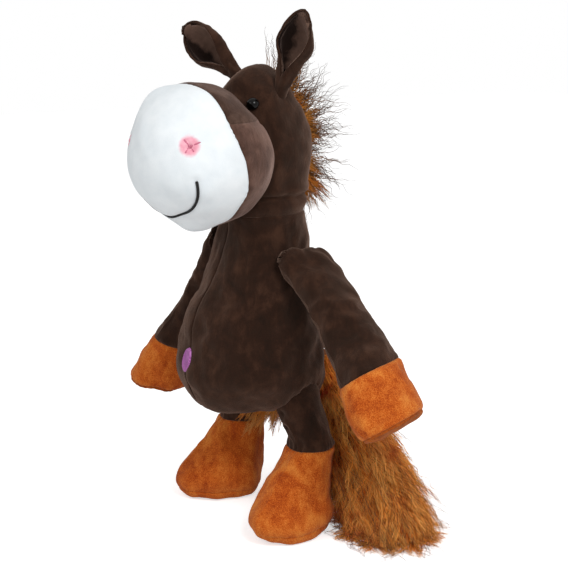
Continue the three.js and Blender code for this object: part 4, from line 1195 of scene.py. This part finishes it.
def mane_strands(name, seed, material, locks, per, steps, span, length, thick, gather_share, crimp, spread,
                 waviness, tufted=False):
    """Strands along the seam at the back of the head, in locks whose strands run together."""
    rng = np.random.default_rng(seed)
    degrees = rng.uniform(*span, locks)
    long = rng.uniform(*length, locks) * (tuft_length(degrees) + 3 if tufted else 1)
    degrees, long = degrees[long > 6], long[long > 6]
    locks = len(degrees)
    bearing = np.radians(degrees)
    x = rng.uniform(-4.2, 4.2, locks)
    radial = np.stack([0 * x, np.sin(bearing), np.cos(bearing)], -1)
    napewards = np.stack([0 * x, np.cos(bearing), -np.sin(bearing)], -1)
    sideways = np.stack([x / 4.2 * 0.2 + rng.normal(0, spread, locks), 0 * x, 0 * x], -1)
    way = unit(radial + napewards * rng.normal(0.12, spread * 2, locks)[:, None] + sideways)
    root = np.stack([x, 0 * x, 0 * x + MANE_PIVOT], -1) + radial * (skull_edge(bearing, x) - 0.5)[:, None]
    of = np.repeat(np.arange(locks), per)
    s = np.linspace(0, 1, steps)[None, :, None]
    own = (long[of] * rng.uniform(0.7, 1.1, len(of)))[:, None, None]
    sag = np.array([0, 0.1, -0.3]) * own * 0.4 * s**2
    bend = unit(rng.normal(size=(locks, 1, 3)))[of] * own * 0.16 * s**2
    offset = rng.normal(0, 1.2, (len(of), 1, 3)) * (1 - gather_share * s)
    paths = root[of][:, None] + offset + way[of][:, None] * own * s + sag + bend
    paths = crinkle(paths, crimp, waviness, rng, of)
    strand_piece(name, rng, paths, of, thick, 0.75, material, HEAD, "head", "mane_fur")


def make_mane():
    mane_undercoat()
    mane_strands("mane_tufts", 701, TUFT_FUR, locks=380, per=16, steps=9, span=(38, 122), length=(0.75, 1.15),
                 thick=(0.14, 0.24), gather_share=0.6, crimp=0.4, spread=0.12, waviness=1.2, tufted=True)
    mane_strands("mane_wisps", 702, MANE_FUR, locks=300, per=2, steps=30, span=(26, 124), length=(22, 40),
                 thick=(0.18, 0.27), gather_share=0.35, crimp=1.3, spread=0.22, waviness=3.8)
    mane_strands("crown_wisps", 703, MANE_FUR, locks=34, per=2, steps=26, span=(12, 44), length=(22, 34),
                 thick=(0.12, 0.2), gather_share=0.3, crimp=1.0, spread=0.16, waviness=3.0)


TAIL_ROWS = [six(row) for row in (
    ring(-93.5, 0, 68), (-93.25, 22.1, 17.6, 16.25, 68), (-91.14, 31.28, 25, 23, 68),
    (-81.84, 34, 27, 25, 66), (-55.8, 38.8, 22, 21.5, 42), (-33.48, 40, 14.88, 15.5, 21.5),
    (-18.6, 20, 9.6, 10, 9.12), ring(-5.58, 6.5), ring(0, 4.55), ring(2.79, 0))]


def tail_strands(name, seed, material, locks, per, steps, length, start_shares, outward_shares, thick,
                 gather_share, crimp, waviness):
    """Strands that run down along the bush's form and work their way out of it."""
    rng = np.random.default_rng(seed)
    top = -1 - 86 * rng.uniform(0, 1, locks) ** 0.9
    bearing = rng.uniform(0, TAU, locks)
    long = rng.uniform(*length, locks)
    of = np.repeat(np.arange(locks), per)
    s = np.linspace(0, 1, steps)[None, :]
    h = top[of][:, None] - (long[of] * rng.uniform(0.7, 1.1, len(of)))[:, None] * s
    a = bearing[of][:, None] + rng.normal(0, 0.5, locks)[of][:, None] * s
    rho = rng.uniform(*start_shares, locks)[of][:, None]
    rho = rho + rng.uniform(*outward_shares, locks)[of][:, None] * s**1.3
    w, front, back, sway = sizes_at(TAIL_ROWS, np.clip(h, -92, 2), 1, 2, 3, 4)
    spill = np.maximum(-88 - h, 0) * 0.4
    x = sway + (rho * w + spill) * np.cos(a)
    y = (rho * np.where(np.sin(a) < 0, front, back) + 0.6 * spill) * np.sin(a)
    paths = np.stack([x, y, np.maximum(h, -92.4)], -1)
    bend = unit(rng.normal(size=(locks, 1, 3)))[of] * long[of][:, None, None] * 0.2 * s[..., None] ** 2
    paths += rng.normal(0, 1.7, (len(of), 1, 3)) * (1 - gather_share * s[..., None]) + bend
    paths = crinkle(paths, crimp, waviness, rng, of)
    paths[..., 1] = np.clip(paths[..., 1], -34, 36)
    paths[..., 2] = np.maximum(paths[..., 2], -92.6)
    strand_piece(name, rng, paths, of, thick, 0.7, material, TAIL, "tail", "tail_fur")


def make_tail():
    inner = [list(row) for row in TAIL_ROWS]
    for row in inner:
        size_share = 1.15 if row[0] > -6 else 0.76
        row[1:4] = [size_share * v for v in row[1:4]]
    inner[0][0], inner[1][0] = TAIL_FLOOR, TAIL_FLOOR + 0.5
    form = Form(inner, TAIL, coarse=2)
    form.push(lumps(form.points, (1.6, 10, 95), (0.6, 5, 96)))
    form.points[..., 2] = np.maximum(form.points[..., 2], TAIL_FLOOR)
    dress(panel("tail_undercoat", form, thick=0), "tail", UNDERCOAT, ["tail_fur"])
    for piece in range(3):
        tail_strands(f"tail_locks_{piece + 1}", 801 + piece, TAIL_FUR, locks=420, per=13, steps=11,
                     length=(14, 34), start_shares=(0.58, 0.82), outward_shares=(0.12, 0.38),
                     thick=(0.13, 0.26), gather_share=0.6, crimp=1.1, waviness=2.2)
    tail_strands("tail_wisps", 811, TAIL_WISP_FUR, locks=420, per=2, steps=22, length=(20, 42),
                 start_shares=(0.7, 0.95), outward_shares=(0.15, 0.55), thick=(0.12, 0.2),
                 gather_share=0.3, crimp=1.2, waviness=3.2)


def make_seat_tuft(locks=60, per=16, steps=11):
    """Fur at the foot of the back seam, that hangs forwards between the legs."""
    rng = np.random.default_rng(820)
    x, y = rng.uniform(-20, 2, locks), rng.uniform(12, 32, locks)
    rise = 1 - np.sqrt(np.clip(1 - np.hypot(x / 41, y / 38) ** 2, 0, 1))
    root = np.stack([x, y, 71 + 25 * rise], -1)
    way = unit(np.array([-0.1, -0.2, -0.95]) + rng.normal(0, 0.2, (locks, 3)))
    of = np.repeat(np.arange(locks), per)
    s = np.linspace(0, 1, steps)[None, :, None]
    own = (rng.uniform(16, 38, locks)[of] * rng.uniform(0.7, 1.1, len(of)))[:, None, None]
    offset = rng.normal(0, 1.6, (len(of), 1, 3)) * (1 - 0.7 * s)
    paths = root[of][:, None] + offset + way[of][:, None] * own * s
    paths = crinkle(paths, 0.8, 2.2, rng, of)
    strand_piece("seat_tuft", rng, paths, of, (0.14, 0.26), 0.7, SEAT_FUR, ORIGIN, "torso", None)


make_torso()
make_navel()
make_head()
make_muzzle()
make_face_stitches()
make_eyes()
for label, side in SIDES:
    make_arm(label, side)
    make_leg(label, side)
    make_ear(label, side)
make_mane()
make_tail()
make_seat_tuft()
for node, material in (("mane_tape", MANE_BACKING), ("tail_core", BACKING), ("left_eye_washer", WASHER),
                       ("right_eye_washer", WASHER)):
    kept = bpy.data.objects[node]
    kept.data.materials.clear()
    kept.data.materials.append(material)


# Floor, light and camera, in metres
def make_floor():
    corners = [(x, y, -0.0003) for x, y in ((-3, -3), (3, -3), (3, 3), (-3, 3))]
    floor = new_object("floor", corners, [(0, 1, 2, 3)])
    s = Shader("floor", 0.9, 0.1)
    colour = s.ramp(s.noise(400, 2), (0.3, (0.82, 0.82, 0.82, 1)), (0.7, (0.84, 0.84, 0.84, 1)))
    glow = s.math("MULTIPLY", s.white_rays(), 0.62)
    floor.data.materials.append(s.set(Base_Color=colour, Emission_Color=(1, 1, 1, 1), Emission_Strength=glow))


def make_world(ambient):
    """White where it is seen, and dimmer as a light."""
    world = bpy.data.worlds.new("studio")
    world.use_nodes = True
    bpy.context.scene.world = world
    nodes = Nodes(world.node_tree)
    level = nodes.add("ShaderNodeMapRange", {"Value": nodes.white_rays(), "To Min": ambient})
    glow = nodes.nodes["Background"]
    nodes.feed(glow.inputs["Strength"], level.outputs["Result"])
    nodes.feed(glow.inputs["Color"], (1, 1, 1, 1))


def aimed(obj, place, aim):
    obj.location = place
    obj.rotation_euler = (Vector(aim) - Vector(place)).to_track_quat("-Z", "Y").to_euler()


def make_lamp(name, place, size, power):
    lamp = bpy.data.lights.new(name, "AREA")
    lamp.shape, lamp.size, lamp.energy = "DISK", size, power
    aimed(linked(name, lamp), place, (0, 0, 0.14))


def make_camera(place, aim, focal_pixels=1300, frame_pixels=568):
    camera = bpy.data.cameras.new("camera")
    camera.sensor_width, camera.lens = 36, 36 * focal_pixels / frame_pixels
    bpy.context.scene.camera = linked("camera", camera)
    aimed(bpy.context.scene.camera, ORIGIN @ Vector(place), ORIGIN @ Vector(aim))


make_floor()
make_world(0.55)
make_lamp("key", (0.95, -0.1, 1.0), 0.5, 8)
make_lamp("fill", (0.2, -1.3, 0.9), 0.8, 2.6)
make_camera((0.6494, -0.4026, 0.3064), (0.00871, 0.01342, 0.144))
bpy.context.scene.view_settings.view_transform = "Standard"
